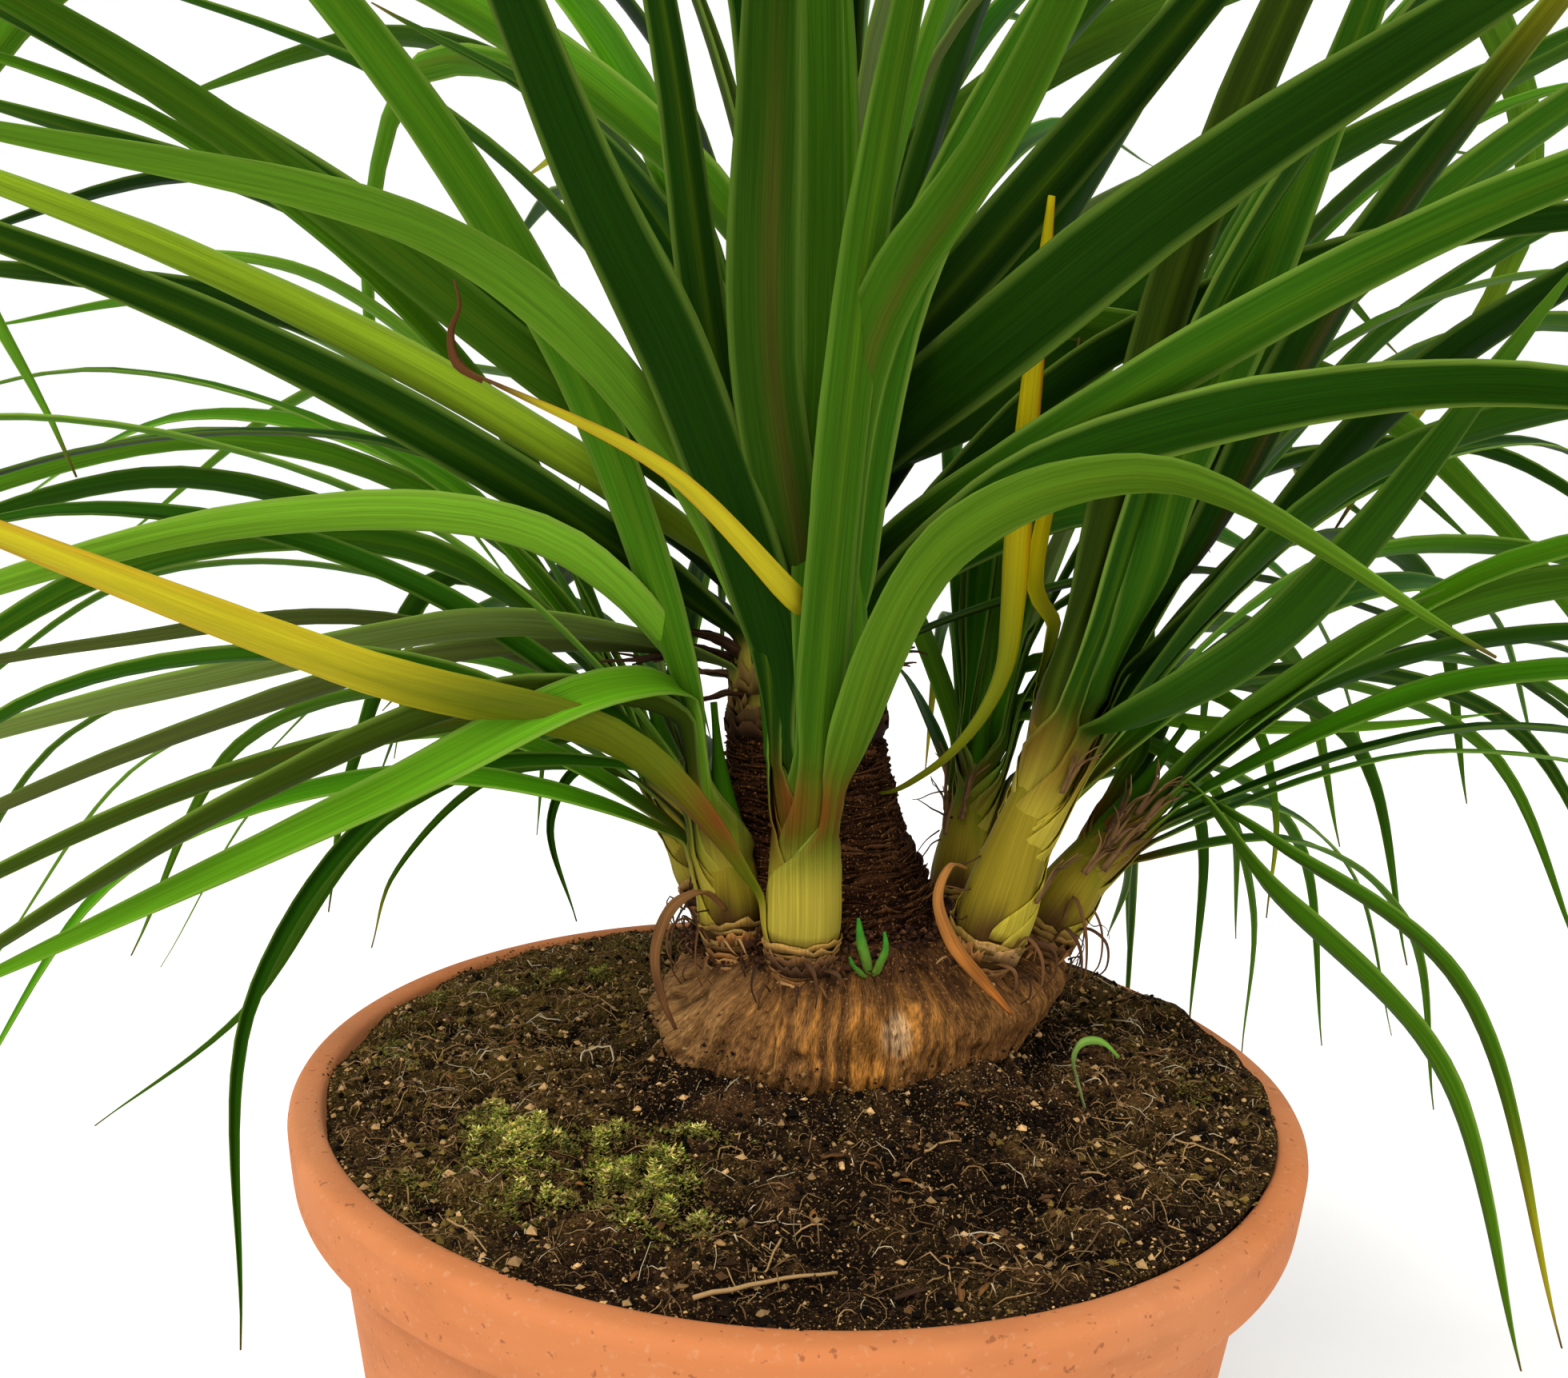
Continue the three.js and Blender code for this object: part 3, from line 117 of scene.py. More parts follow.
# Own leaf or stem, height on the stem, run along the sheath, two points on the way, tip, width, roll, tone
PLACED_LEAVES = [
    ("yellow_front_leaf", 0.12, 12, [-45, -60, 335], [-110, -80, 355], [-260, -120, 415], 12, 70, "yellow"),
    ("yellow_right_leaf", 0.45, 22, [50, -30, 360], [55, -40, 425], [56, -45, 482], 9, 10, "yellow"),
    ("yellow_short_leaf", 0.95, 20, [65, -5, 380], [70, 0, 420], [75, 5, 455], 8, 10, "yellow"),
    ("yellow_crown_leaf", 0.75, 25, [-45, -25, 425], [-90, -35, 440], [-108, -30, 462], 12, 60, "yellow"),
    ("left", 0.9, 35, [-75, -45, 390], [-145, -75, 390], [-255, -130, 345], 12, 60, "bright"),
    ("left", 0.75, 35, [-55, -60, 350], [-105, -120, 325], [-155, -235, 302], 12, -50, "vivid"),
    ("crown", 0.1, 12, [-85, -25, 365], [-175, -50, 345], [-295, -90, 305], 12, 50, "grey"),
    ("left", 0.7, 30, [-80, -60, 348], [-135, -100, 325], [-220, -150, 265], 12, 50, "olive"),
    ("crown", 0.1, 12, [-100, 0, 355], [-180, -20, 330], [-315, -50, 265], 9, 50, "grey"),
    ("left", 0.8, 30, [-100, -10, 335], [-175, -30, 315], [-295, -70, 250], 10, 50, "olive"),
    ("back_left", 0.6, 25, [-135, 25, 360], [-230, 15, 350], [-355, 0, 320], 7, 50, "grey"),
    ("back_left", 0.7, 30, [-130, 20, 385], [-215, 0, 375], [-325, -20, 290], 12, 60, "mid"),
    ("back_left", 0.8, 35, [-125, 45, 380], [-225, 50, 405], [-410, 60, 340], 9, 60, "mid"),
    ("back_left", 0.8, 35, [-125, 50, 398], [-205, 45, 418], [-375, 40, 360], 9, 60, "fresh"),
    ("left", 0.5, 22, [-115, -10, 315], [-162, -25, 250], [-155, -50, 155], 7, 60, "mid"),
    ("back_left", 0.5, 28, [-140, 35, 295], [-200, 50, 215], [-260, 60, 165], 5, 60, "mid"),
    ("back_left", 0.4, 18, [-110, 60, 305], [-150, 65, 265], [-160, 70, 235], 4, 60, "mid"),
    ("back_left", 0.4, 16, [-80, 50, 310], [-90, 50, 290], [-80, 50, 255], 4, 60, "mid"),
    ("back_left", 0.6, 30, [-130, 60, 375], [-170, 75, 300], [-180, 80, 245], 8, 60, "mid"),
    ("crown", 0.9, 90, [-210, 80, 590], [-260, 70, 500], [-200, 75, 400], 15, 60, "fresh"),
    ("crown", 0.9, 90, [-165, 95, 565], [-195, 95, 460], [-140, 95, 360], 12, 60, "fresh"),
    ("crown", 0.2, 15, [-85, -35, 405], [-155, -70, 440], [-235, -140, 465], 15, 60, "deep"),
    ("crown", 0.35, 20, [-85, -35, 420], [-160, -60, 455], [-275, -100, 490], 12, 60, "lime"),
    ("crown", 0.5, 20, [-85, -50, 440], [-150, -95, 485], [-205, -180, 505], 17, 60, "fresh"),
    ("front", 1, 35, [-55, -85, 435], [-95, -140, 460], [-130, -230, 440], 14, 60, "bright"),
    ("crown", 0.45, 25, [-70, 5, 430], [-150, 0, 490], [-300, -20, 560], 16, 55, "deep"),
    ("crown", 0.3, 20, [-75, 12, 412], [-165, 15, 455], [-320, 20, 470], 14, 55, "deep"),
    ("crown", 1, 40, [-60, 22, 470], [-120, 25, 560], [-220, 30, 700], 18, 50, "deep"),
    ("crown", 0.5, 25, [-70, 32, 430], [-160, 50, 490], [-330, 60, 540], 15, 55, "deep"),
    ("crown", 0.6, 30, [60, 30, 440], [140, 50, 510], [300, 70, 600], 18, -55, "mid"),
    ("crown", 0.8, 35, [50, 12, 465], [105, 20, 560], [200, 30, 720], 18, -50, "deep"),
    ("front", 1, 40, [-35, -70, 430], [-55, -100, 470], [-90, -170, 560], 20, 30, "deep"),
    ("front", 0.9, 40, [-30, -60, 440], [-40, -70, 500], [-65, -90, 620], 12, 70, "deep"),
    ("front", 1, 40, [-15, -75, 435], [-15, -100, 490], [-10, -190, 560], 20, 0, "bronze"),
    ("crown", 1, 40, [-5, -20, 470], [-5, -20, 520], [10, -20, 680], 15, 40, "mid"),
    ("front", 0.8, 40, [5, -65, 425], [10, -85, 480], [25, -140, 570], 15, 20, "fresh"),
    ("crown", 1, 40, [15, 0, 470], [35, 10, 540], [95, 40, 700], 17, -50, "mid"),
    ("front", 1, 40, [10, -75, 440], [35, -110, 480], [60, -200, 540], 18, -25, "fresh"),
    ("crown", 0.6, 30, [45, -55, 445], [90, -90, 480], [165, -170, 520], 24, -60, "deep"),
    ("crown", 0.8, 40, [35, -20, 465], [80, -40, 520], [160, -80, 620], 20, -60, "deep"),
    ("front", 0.75, 40, [30, -75, 390], [70, -110, 408], [115, -170, 375], 13, -60, "vivid"),
    ("crown", 0.35, 20, [60, -35, 420], [135, -75, 465], [215, -150, 485], 14, -60, "mid"),
    ("crown", 0.2, 15, [55, -45, 410], [130, -90, 430], [190, -190, 405], 17, -60, "deep"),
    ("right", 1, 30, [90, -25, 390], [110, -40, 455], [140, -80, 585], 17, -60, "mid"),
    ("right", 1, 25, [105, -15, 390], [145, -20, 475], [225, -40, 595], 16, -60, "deep"),
    ("right", 0.75, 12, [85, -35, 345], [120, -50, 372], [175, -80, 465], 14, -60, "mid"),
    ("right", 0.9, 15, [115, -15, 380], [165, -25, 445], [285, -50, 520], 14, -60, "deep"),
    ("right", 1, 25, [115, 5, 425], [180, 10, 500], [335, 20, 610], 19, -60, "mid"),
    ("far_right", 0.9, 12, [140, -10, 295], [185, -30, 250], [205, -50, 170], 11, -50, "fresh"),
    ("far_right", 0.85, 12, [145, -5, 305], [195, -15, 270], [228, -30, 165], 7, -50, "fresh"),
    ("far_right", 0.9, 20, [135, -5, 350], [195, -20, 385], [325, -50, 395], 13, -60, "fresh"),
    ("far_right", 0.85, 15, [140, 5, 345], [205, 10, 370], [370, 20, 375], 7, -60, "mid"),
    ("back_right", 0.8, 25, [135, 50, 335], [190, 60, 335], [250, 80, 340], 6, 60, "bright"),
    ("back_right", 0.9, 30, [150, 60, 340], [165, 60, 305], [165, 60, 265], 8, 60, "fresh"),
    ("back_right", 0.7, 25, [130, 40, 320], [155, 50, 275], [160, 60, 215], 6, 60, "fresh"),
    ("far_right", 0.7, 10, [110, 25, 295], [118, 30, 270], [122, 40, 240], 5, 60, "fresh"),
    ("crown", 0.9, 90, [200, 70, 600], [240, 60, 520], [185, 60, 400], 19, -60, "bright"),
    ("crown", 0.7, 70, [155, 30, 450], [225, 50, 410], [305, 60, 325], 12, -60, "fresh"),
    ("back_right", 0.9, 40, [130, 50, 405], [200, 70, 480], [385, 100, 585], 10, -60, "mid"),
]
# Where the random draws of each part start
SEEDS = {"trunk_scales": 5, "crumbs": 17, "fibres": 23, "chips": 29, "moss": 31, "crown_foot": 43,
         "debris": 47, "shreds": 53, "leaves": 200}
# Stem, seed, count and sector of azimuths, then the first and last leaf's height on the stem, rise,
# length, width, droop and lift
GROWN_LEAVES = [
    ("crown", 11, 34, [0, 360], [0.1, 1], [18, 84], [400, 430], [13, 19], [70, 30], [14, 40]),
    ("left", 23, 20, [130, 235], [0.3, 1], [10, 78], [300, 360], [7, 12], [70, 45], [12, 36]),
    ("front", 31, 8, [150, 390], [0.6, 1], [74, 86], [300, 340], [12, 15], [45, 30], [30, 40]),
    ("right", 41, 20, [-62, 60], [0.4, 1], [24, 82], [300, 380], [9, 15], [90, 45], [12, 30]),
    ("far_right", 59, 20, [-75, 75], [0.4, 1], [0, 66], [280, 350], [6, 12], [75, 55], [8, 20]),
    ("back_right", 67, 23, [10, 115], [0.3, 1], [10, 80], [300, 380], [7, 13], [90, 50], [12, 36]),
    ("back_left", 73, 22, [85, 205], [0.3, 1], [8, 80], [300, 380], [7, 13], [72, 45], [12, 36]),
]
# The solids' dried strips and shoots: path and widths
STRIPS = {
    "dried_sheath_right": ([[54, -19, 305], [44, -34, 290], [42, -43, 273], [56, -49, 258]], [5, 9, 8, 3]),
    "dried_curl_left": ([[-27, -22, 292], [-36, -39, 288], [-40, -47, 273], [-34, -51, 262]], [3, 4, 4, 2]),
    "caudex_shoot": ([[25, -33, 262], [24, -36, 272], [22, -37, 280], [19, -38, 287]], [5, 4, 3, 1.5]),
    "soil_seedling": ([[88, -50, 226], [87, -52, 236], [93, -56, 241], [101, -60, 236]], [2, 3, 4, 2]),
}
STRIP_SEGMENTS = 8
UP = np.array([0, 0, 1.0])


def mix(a, b, t):
    return a + (b - a) * t


def smooth(low, high, x):
    t = np.clip((np.asarray(x, float) - low) / (high - low), 0, 1)
    return t * t * (3 - 2 * t)


def unit(v):
    v = np.asarray(v, float)
    return v / np.maximum(np.linalg.norm(v, axis=-1, keepdims=True), 1e-12)


def dot(a, b):
    return np.sum(np.asarray(a) * np.asarray(b), axis=-1, keepdims=True)


def field(*parts):
    """The parts, broadcast against each other, as the last axis of one array."""
    return np.stack(np.broadcast_arrays(*parts), -1)


def circle(count):
    return 2 * np.pi * np.arange(count) / count


def polar(radius, turn, centre=(0, 0)):
    return centre[0] + radius * np.cos(turn), centre[1] + radius * np.sin(turn)


def running_total(steps):
    return np.concatenate([[0], np.cumsum(steps)])


def bell(x, middle, spread):
    return np.exp(-(((x - middle) / spread) ** 2))


def near_side(azimuth, middle, spread):
    """How near each azimuth is to the middle of a side, from 0 to 1."""
    return bell(turn_between(azimuth, middle), 0, spread)


def direction(azimuth, rise):
    a, r = math.radians(azimuth), math.radians(rise)
    return np.array([math.cos(r) * math.cos(a), math.cos(r) * math.sin(a), math.sin(r)])


def draws(part):
    return np.random.RandomState(SEEDS[part])


def random_stream(seed):
    state = seed * 7919
    while True:
        state = state * 16807 % 2147483647
        yield state / 2147483647


# The leaf rule
def curve_through(points, count):
    """A smooth curve through the points, sampled evenly along its length."""
    points = [np.asarray(p, float) for p in points]
    chain = np.array([2 * points[0] - points[1], *points, 2 * points[-1] - points[-2]])
    knots = running_total(np.sqrt(np.linalg.norm(np.diff(chain, axis=0), axis=1)))
    spans = len(points) - 1
    along = spans * np.arange(CURVE_STEPS + 1) / CURVE_STEPS
    j = np.minimum(np.floor(along).astype(int), spans - 1)
    k = [knots[j + i][:, None] for i in range(4)]
    t = mix(k[1], k[2], (along - j)[:, None])

    def blend(a, b, low, high):
        return a + (b - a) * ((t - low) / (high - low))

    a, b, c = (blend(chain[j + i], chain[j + i + 1], k[i], k[i + 1]) for i in range(3))
    samples = blend(blend(a, b, k[0], k[2]), blend(b, c, k[1], k[3]), k[1], k[2])
    travelled = running_total(np.linalg.norm(np.diff(samples, axis=0), axis=1))
    wanted = travelled[-1] * np.arange(count + 1) / count
    return np.stack([np.interp(wanted, travelled, samples[:, k]) for k in range(3)], 1)


def stem_axis(stem):
    return direction(stem["azimuth"], stem["rise"])


def stem_point(stem, height):
    return np.array(stem["foot"], float) + stem_axis(stem) * stem["length"] * height


def stem_radius(stem, height):
    return mix(stem["radius"][0], stem["radius"][1], height)


def leaf_width(width, s):
    taper = np.minimum(1, (1 - s) / LEAF_TAPER) ** 0.8
    neck = mix(NECK_WIDTH, 1, np.minimum(1, s / NECK_RUN))
    return np.maximum(LEAF_MIN_WIDTH, width * taper * neck)


def tangents_of(points):
    after = np.vstack([points[1:], points[-1:]])
    before = np.vstack([points[:1], points[:-1]])
    return unit(after - before)


def leaf_frames(leaf, segments):
    stem = STEMS[leaf["stem"]]
    axis = stem_axis(stem)
    centre = stem_point(stem, leaf["height"])
    outward = np.asarray(leaf["first"]) - centre
    outward = unit(outward - axis * np.dot(outward, axis))
    radius = stem_radius(stem, leaf["height"])
    root = centre + outward * radius * ROOT_DEPTH
    rise = root + axis * leaf["lift"] + outward * radius * (1 - ROOT_DEPTH)
    points = curve_through([root, rise, leaf["first"], leaf["second"], leaf["tip"]], segments)
    heading = unit(np.array([leaf["tip"][0] - root[0], leaf["tip"][1] - root[1], 0]))
    flat = np.array([-heading[1], heading[0], 0])
    tangent = tangents_of(points)
    side = unit(flat - dot(flat, tangent) * tangent)
    normal = np.cross(tangent, side)
    s = np.arange(segments + 1) / segments
    turn = np.radians(leaf["roll"] * np.minimum(1, s / ROLL_RUN))[:, None]
    across = side * np.cos(turn) + normal * np.sin(turn)
    normal = np.cross(tangent, across)
    middle = round(segments * 4 / 7)
    upward = np.array([0, 0, 1]) - 0.5 * outward
    face_up = np.sign(np.dot(normal[middle], upward)) or 1
    return {"point": points, "across": across, "normal": normal * face_up, "outward": outward, "s": s,
            "width": leaf_width(leaf["width"], s)}


def leaf_boxes(frames):
    a, b = frames["point"][:-1], frames["point"][1:]
    along = b - a
    half = np.linalg.norm(along, axis=1) / 2
    along = unit(along)
    across = frames["across"][:-1] + frames["across"][1:]
    across = unit(across - dot(across, along) * along)
    width = np.maximum(frames["width"][:-1], frames["width"][1:]) / 2
    halves = np.stack([half, width + CLEARANCE, LEAF_KEEL * width + CLEARANCE], 1)
    axes = np.stack([along, across, np.cross(along, across)], 1)
    return {"centre": (a + b) / 2, "axes": axes, "halves": halves, "s": np.arange(len(a)) / len(a)}


def stem_boxes(stem):
    along = stem_axis(stem)
    across = unit(np.array([1, 0, 0]) - along * along[0])
    axes = np.stack([along, across, np.cross(along, across)])
    heights = [1 / 6, 3 / 6, 5 / 6]
    halves = [[stem["length"] / 6] + [stem_radius(stem, h) * CORE_SHARE] * 2 for h in heights]
    return {"centre": np.array([stem_point(stem, h) for h in heights]), "axes": np.stack([axes] * 3),
            "halves": np.array(halves), "s": np.ones(3)}


def boxes_touch(first, second):
    """Whether any of the paired oriented boxes overlap."""
    offset = second["centre"] - first["centre"]
    reach = np.linalg.norm(first["halves"], axis=1) + np.linalg.norm(second["halves"], axis=1)
    near = np.einsum("ij,ij->i", offset, offset) <= reach * reach
    if not near.any():
        return False
    offset = offset[near]
    a, b = first["axes"][near], second["axes"][near]
    ha, hb = first["halves"][near], second["halves"][near]
    crosses = np.cross(a[:, :, None, :], b[:, None, :, :]).reshape(len(a), 9, 3)
    squares = np.einsum("ijk,ijk->ij", crosses, crosses)
    usable = squares > 1e-6
    crosses = crosses / np.sqrt(np.maximum(squares, 1e-12))[:, :, None]
    tests = np.concatenate([a, b, crosses], 1)
    counted = np.concatenate([np.ones((len(a), 6), bool), usable], 1)
    reach_a = np.einsum("ijl,il->ij", np.abs(np.einsum("ijk,ilk->ijl", tests, a)), ha)
    reach_b = np.einsum("ijl,il->ij", np.abs(np.einsum("ijk,ilk->ijl", tests, b)), hb)
    apart = (np.abs(np.einsum("ijk,ik->ij", tests, offset)) > reach_a + reach_b) & counted
    return not apart.any(axis=1).all()


def turn_between(a, b):
    return ((a - b) % 360 + 540) % 360 - 180


def profile_radius(profile, z):
    heights, radii = zip(*profile)
    return np.interp(z, heights, radii)


def caudex_radius(z, azimuth):
    z, azimuth = np.asarray(z, float), np.asarray(azimuth, float)
    shoulder = bell(z, 262, 16) * near_side(azimuth, 0, 55)
    turn = np.radians(azimuth)
    lobes = 0.025 * np.sin(3 * turn + 0.6) + 0.015 * np.sin(7 * turn)
    depth = 1 - 0.07 * np.abs(np.sin(turn))
    return profile_radius(CAUDEX_PROFILE, z) * (depth + lobes + 0.3 * shoulder)


def trunk_centre(z):
    t = (np.asarray(z, float) - TRUNK_LEAN_Z) / (TRUNK_TOP_Z - TRUNK_LEAN_Z)
    return mix(TRUNK_FOOT[0], TRUNK_TOP[0], t), mix(TRUNK_FOOT[1], TRUNK_TOP[1], t)


def trunk_radius(z):
    t = (np.asarray(z, float) - TRUNK_FOOT_Z) / (TRUNK_TOP_Z - TRUNK_FOOT_Z)
    return mix(TRUNK_RADIUS[0], TRUNK_RADIUS[1], t)


def inside_wood(p):
    x, y, z = p[..., 0], p[..., 1], p[..., 2]
    cx, cy = trunk_centre(z)
    in_trunk = np.hypot(x - cx, y - cy) < trunk_radius(z) + 2
    dx, dy = x - CAUDEX_CENTRE[0], y - CAUDEX_CENTRE[1]
    in_caudex = np.hypot(dx, dy) < caudex_radius(z, np.degrees(np.arctan2(dy, dx))) + 3
    return np.where(z > TRUNK_TOP_Z + 2, False, np.where(z > TRUNK_FOOT_Z, in_trunk, in_caudex))


def meets_surroundings(frames):
    parts = np.array([-0.5, 0, 0.5])[None, :, None]
    edges = frames["point"][:, None] + frames["across"][:, None] * frames["width"][:, None, None] * parts
    z = edges[..., 2]
    over_rim = np.hypot(edges[..., 0], edges[..., 1]) < RIM_RADIUS + POT_MARGIN
    met = (over_rim & (z < POT_HEIGHT + POT_HEADROOM)) | (z < GROUND_MARGIN) | inside_wood(edges)
    return bool((met & (frames["s"] > SHEATH_RUN)[:, None]).any())


def hides_front(frames):
    x, y, z = frames["point"][2:].T
    low = (y < 0) & (z < OPEN_FRONT_TOP) & (x > OPEN_FRONT[0]) & (x < OPEN_FRONT[1])
    reaching = (y < NEAR_LIMIT) & (z < NEAR_LIMIT_TOP)
    return bool((low | reaching).any())


class Arrangement:
    """The leaves placed so far, with the boxes that later ones keep clear of."""

    def __init__(self):
        self.leaves = []
        self.boxes = {"centre": [], "axes": [], "halves": [], "s": []}
        self.nodes = []
        self.cores = []

    def add(self, node, boxes, core=False):
        for key, rows in self.boxes.items():
            rows.append(boxes[key])
        self.nodes += [node] * len(boxes["s"])
        self.cores += [core] * len(boxes["s"])
        self.packed = {key: np.concatenate(rows) for key, rows in self.boxes.items()}
        self.node_row = np.array(self.nodes)
        self.core_row = np.array(self.cores)

    def is_clear(self, leaf, frames, boxes):
        if meets_surroundings(frames):
            return False
        low = (boxes["s"] < BUNDLE_RUN)[:, None]
        taken_low = (self.packed["s"] < BUNDLE_RUN)[None, :]
        same = (self.node_row == leaf["node"])[None, :]
        own_core = ((self.node_row == leaf["stem"]) & self.core_row)[None, :]
        tested = ~((same & (low | taken_low)) | (own_core & low))
        mine, others = np.nonzero(tested)
        first = {key: boxes[key][mine] for key in ("centre", "axes", "halves")}
        second = {key: self.packed[key][others] for key in ("centre", "axes", "halves")}
        return not boxes_touch(first, second)


def around_stem(point, stem, turn):
    foot = np.array(stem["foot"], float)
    x, y, z = np.asarray(point, float) - foot
    c, s = math.cos(math.radians(turn)), math.sin(math.radians(turn))
    return foot + np.array([c * x - s * y, s * x + c * y, z])


def shifted_leaves(plan, route):
    """The leaf along its route, then along routes turned and shifted ever further."""
    stem = STEMS[plan["stem"]]
    for turn in TURN_TRIES:
        for level in LEVEL_TRIES:
            for depth in DEPTH_TRIES:
                first, second, tip = (around_stem(p, stem, turn) + np.array([0, share * depth, share * level])
                                      for p, share in zip(route, ROUTE_SHARES))
                yield dict(plan, first=first, second=second, tip=tip)


def leaning_leaves(plan, azimuth, rise, length, droop, bend):
    """The leaf as it would grow, then leaning and turned ever further."""
    stem = STEMS[plan["stem"]]
    thirds = [length * share for share in LEAF_THIRDS]
    start = stem_point(stem, plan["height"]) + stem_axis(stem) * plan["lift"]
    for lean in RISE_TRIES:
        for turn in AZIMUTH_TRIES:
            facing, up = azimuth + turn, rise + lean
            first = start + direction(facing, up) * thirds[0]
            second = first + direction(facing + bend, up - droop * 0.45) * thirds[1]
            tip = second + direction(facing + bend * 1.6, up - droop) * thirds[2]
            yield dict(plan, first=first, second=second, tip=tip)


def keep_first_clear(tries, arrangement, front_stays_open=False):
    """Keeps the first of the tried leaves that touches nothing."""
    for leaf in tries:
        frames = leaf_frames(leaf, LEAF_SEGMENTS)
        if front_stays_open and hides_front(frames):
            continue
        boxes = leaf_boxes(frames)
        if arrangement.is_clear(leaf, frames, boxes):
            arrangement.add(leaf["node"], boxes)
            arrangement.leaves.append(leaf)
            return


def grow_leaves(group, arrangement):
    stem, seed, count, sector, *ranges = group
    stream = random_stream(seed)
    for i in range(count):
        height, rise, length, width, droop, lift = (mix(*ends, i / (count - 1)) for ends in ranges)
        wander = [next(stream) for _ in range(5)]
        azimuth = mix(*sector, (i * GOLDEN_TURN + SPREAD["turn"] * wander[0]) % 1)
        rise = rise + SPREAD["rise"] * (wander[1] - 0.5)
        if FRONT_SECTOR[0] < (azimuth + 360) % 360 < FRONT_SECTOR[1] and rise < FRONT_RISE:
            azimuth = -azimuth
        leaf = {"node": stem, "stem": stem, "height": height, "lift": lift,
                "width": width * (0.8 + SPREAD["width"] * wander[2]),
                "roll": SPREAD["roll"] * (wander[3] - 0.5)}
        length = length * (0.8 + SPREAD["length"] * wander[4])
        droop = droop * (0.75 + SPREAD["droop"] * wander[0])
        tries = leaning_leaves(leaf, azimuth, rise, length, droop, SPREAD["bend"] * (wander[2] - 0.5))
        keep_first_clear(tries, arrangement, front_stays_open=True)


def strip_frames(path, widths):
    points, _, across = route_axes(path, STRIP_SEGMENTS, (1, 0, 0))
    s = np.arange(STRIP_SEGMENTS + 1) / STRIP_SEGMENTS
    return {"point": points, "across": across, "width": widths_at(s, widths)}


def arrange_leaves():
    arrangement = Arrangement()
    for name, stem in STEMS.items():
        arrangement.add(name, stem_boxes(stem), core=True)
    for name, (path, widths) in STRIPS.items():
        arrangement.add(name, leaf_boxes(strip_frames(path, widths)))
    for node, height, lift, *route, width, roll, tone in PLACED_LEAVES:
        plan = {"node": node, "stem": OWN_LEAVES.get(node, node), "height": height, "lift": lift,
                "width": width, "roll": roll, "tone": tone}
        keep_first_clear(shifted_leaves(plan, route), arrangement)
    for group in GROWN_LEAVES:
        grow_leaves(group, arrangement)
    return arrangement.leaves


# Meshes
class Soup:
    """Closed shells gathered into one mesh, with a tone and a strand position at each point."""

    def __init__(self):
        self.points, self.tones, self.strands = [], [], []
        self.quads, self.triangles = [np.zeros((0, 4), int)], [np.zeros((0, 3), int)]
        self.count = 0

    def add(self, points, faces, tone, strand=None):
        points = np.asarray(points, float).reshape(-1, 3)
        faces = np.asarray(faces, int) + self.count
        (self.quads if faces.shape[1] == 4 else self.triangles).append(faces)
        self.points.append(points)
        self.tones.append(np.broadcast_to(tone, (len(points), 3)))
        self.strands.append(points if strand is None else np.asarray(strand, float).reshape(-1, 3))
        self.count += len(points)

    def piece(self, name, material, smooth_shaded=True):
        points = np.concatenate(self.points) * MM
        quads, triangles = np.concatenate(self.quads), np.concatenate(self.triangles)
        loops = np.concatenate([quads.ravel(), triangles.ravel()])
        starts = np.concatenate([np.arange(len(quads)) * 4, len(quads) * 4 + np.arange(len(triangles)) * 3])
        mesh = bpy.data.meshes.new(name)
        mesh.vertices.add(len(points))
        mesh.vertices.foreach_set("co", points.ravel())
        mesh.loops.add(len(loops))
        mesh.loops.foreach_set("vertex_index", loops)
        mesh.polygons.add(len(starts))
        mesh.polygons.foreach_set("loop_start", starts)
        mesh.polygons.foreach_set("use_smooth", np.full(len(starts), smooth_shaded))
        mesh.update(calc_edges=True)
        tone = mesh.attributes.new("tone", "FLOAT_COLOR", "POINT")
        rgb = np.concatenate(self.tones)
        tone.data.foreach_set("color", np.hstack([rgb, np.ones((len(rgb), 1))]).ravel())
        strand = mesh.attributes.new("strand", "FLOAT_VECTOR", "POINT")
        strand.data.foreach_set("vector", np.concatenate(self.strands).ravel())
        mesh.materials.append(material)
        piece = bpy.data.objects.new(name, mesh)
        bpy.context.scene.collection.objects.link(piece)
        return piece


def srgb(*values):
    c = np.array(values, float) / 255
    return np.where(c <= 0.04045, c / 12.92, ((c + 0.055) / 1.055) ** 2.4)


def grid_quads(rows, columns):
    i, j = np.meshgrid(np.arange(rows - 1), np.arange(columns - 1), indexing="ij")
    a = (i * columns + j).ravel()
    return np.stack([a, a + columns, a + columns + 1, a + 1], 1)


def grid_normals(grid):
    down = np.gradient(grid, axis=0)
    across = np.gradient(grid, axis=1)
    return unit(np.cross(down, across))


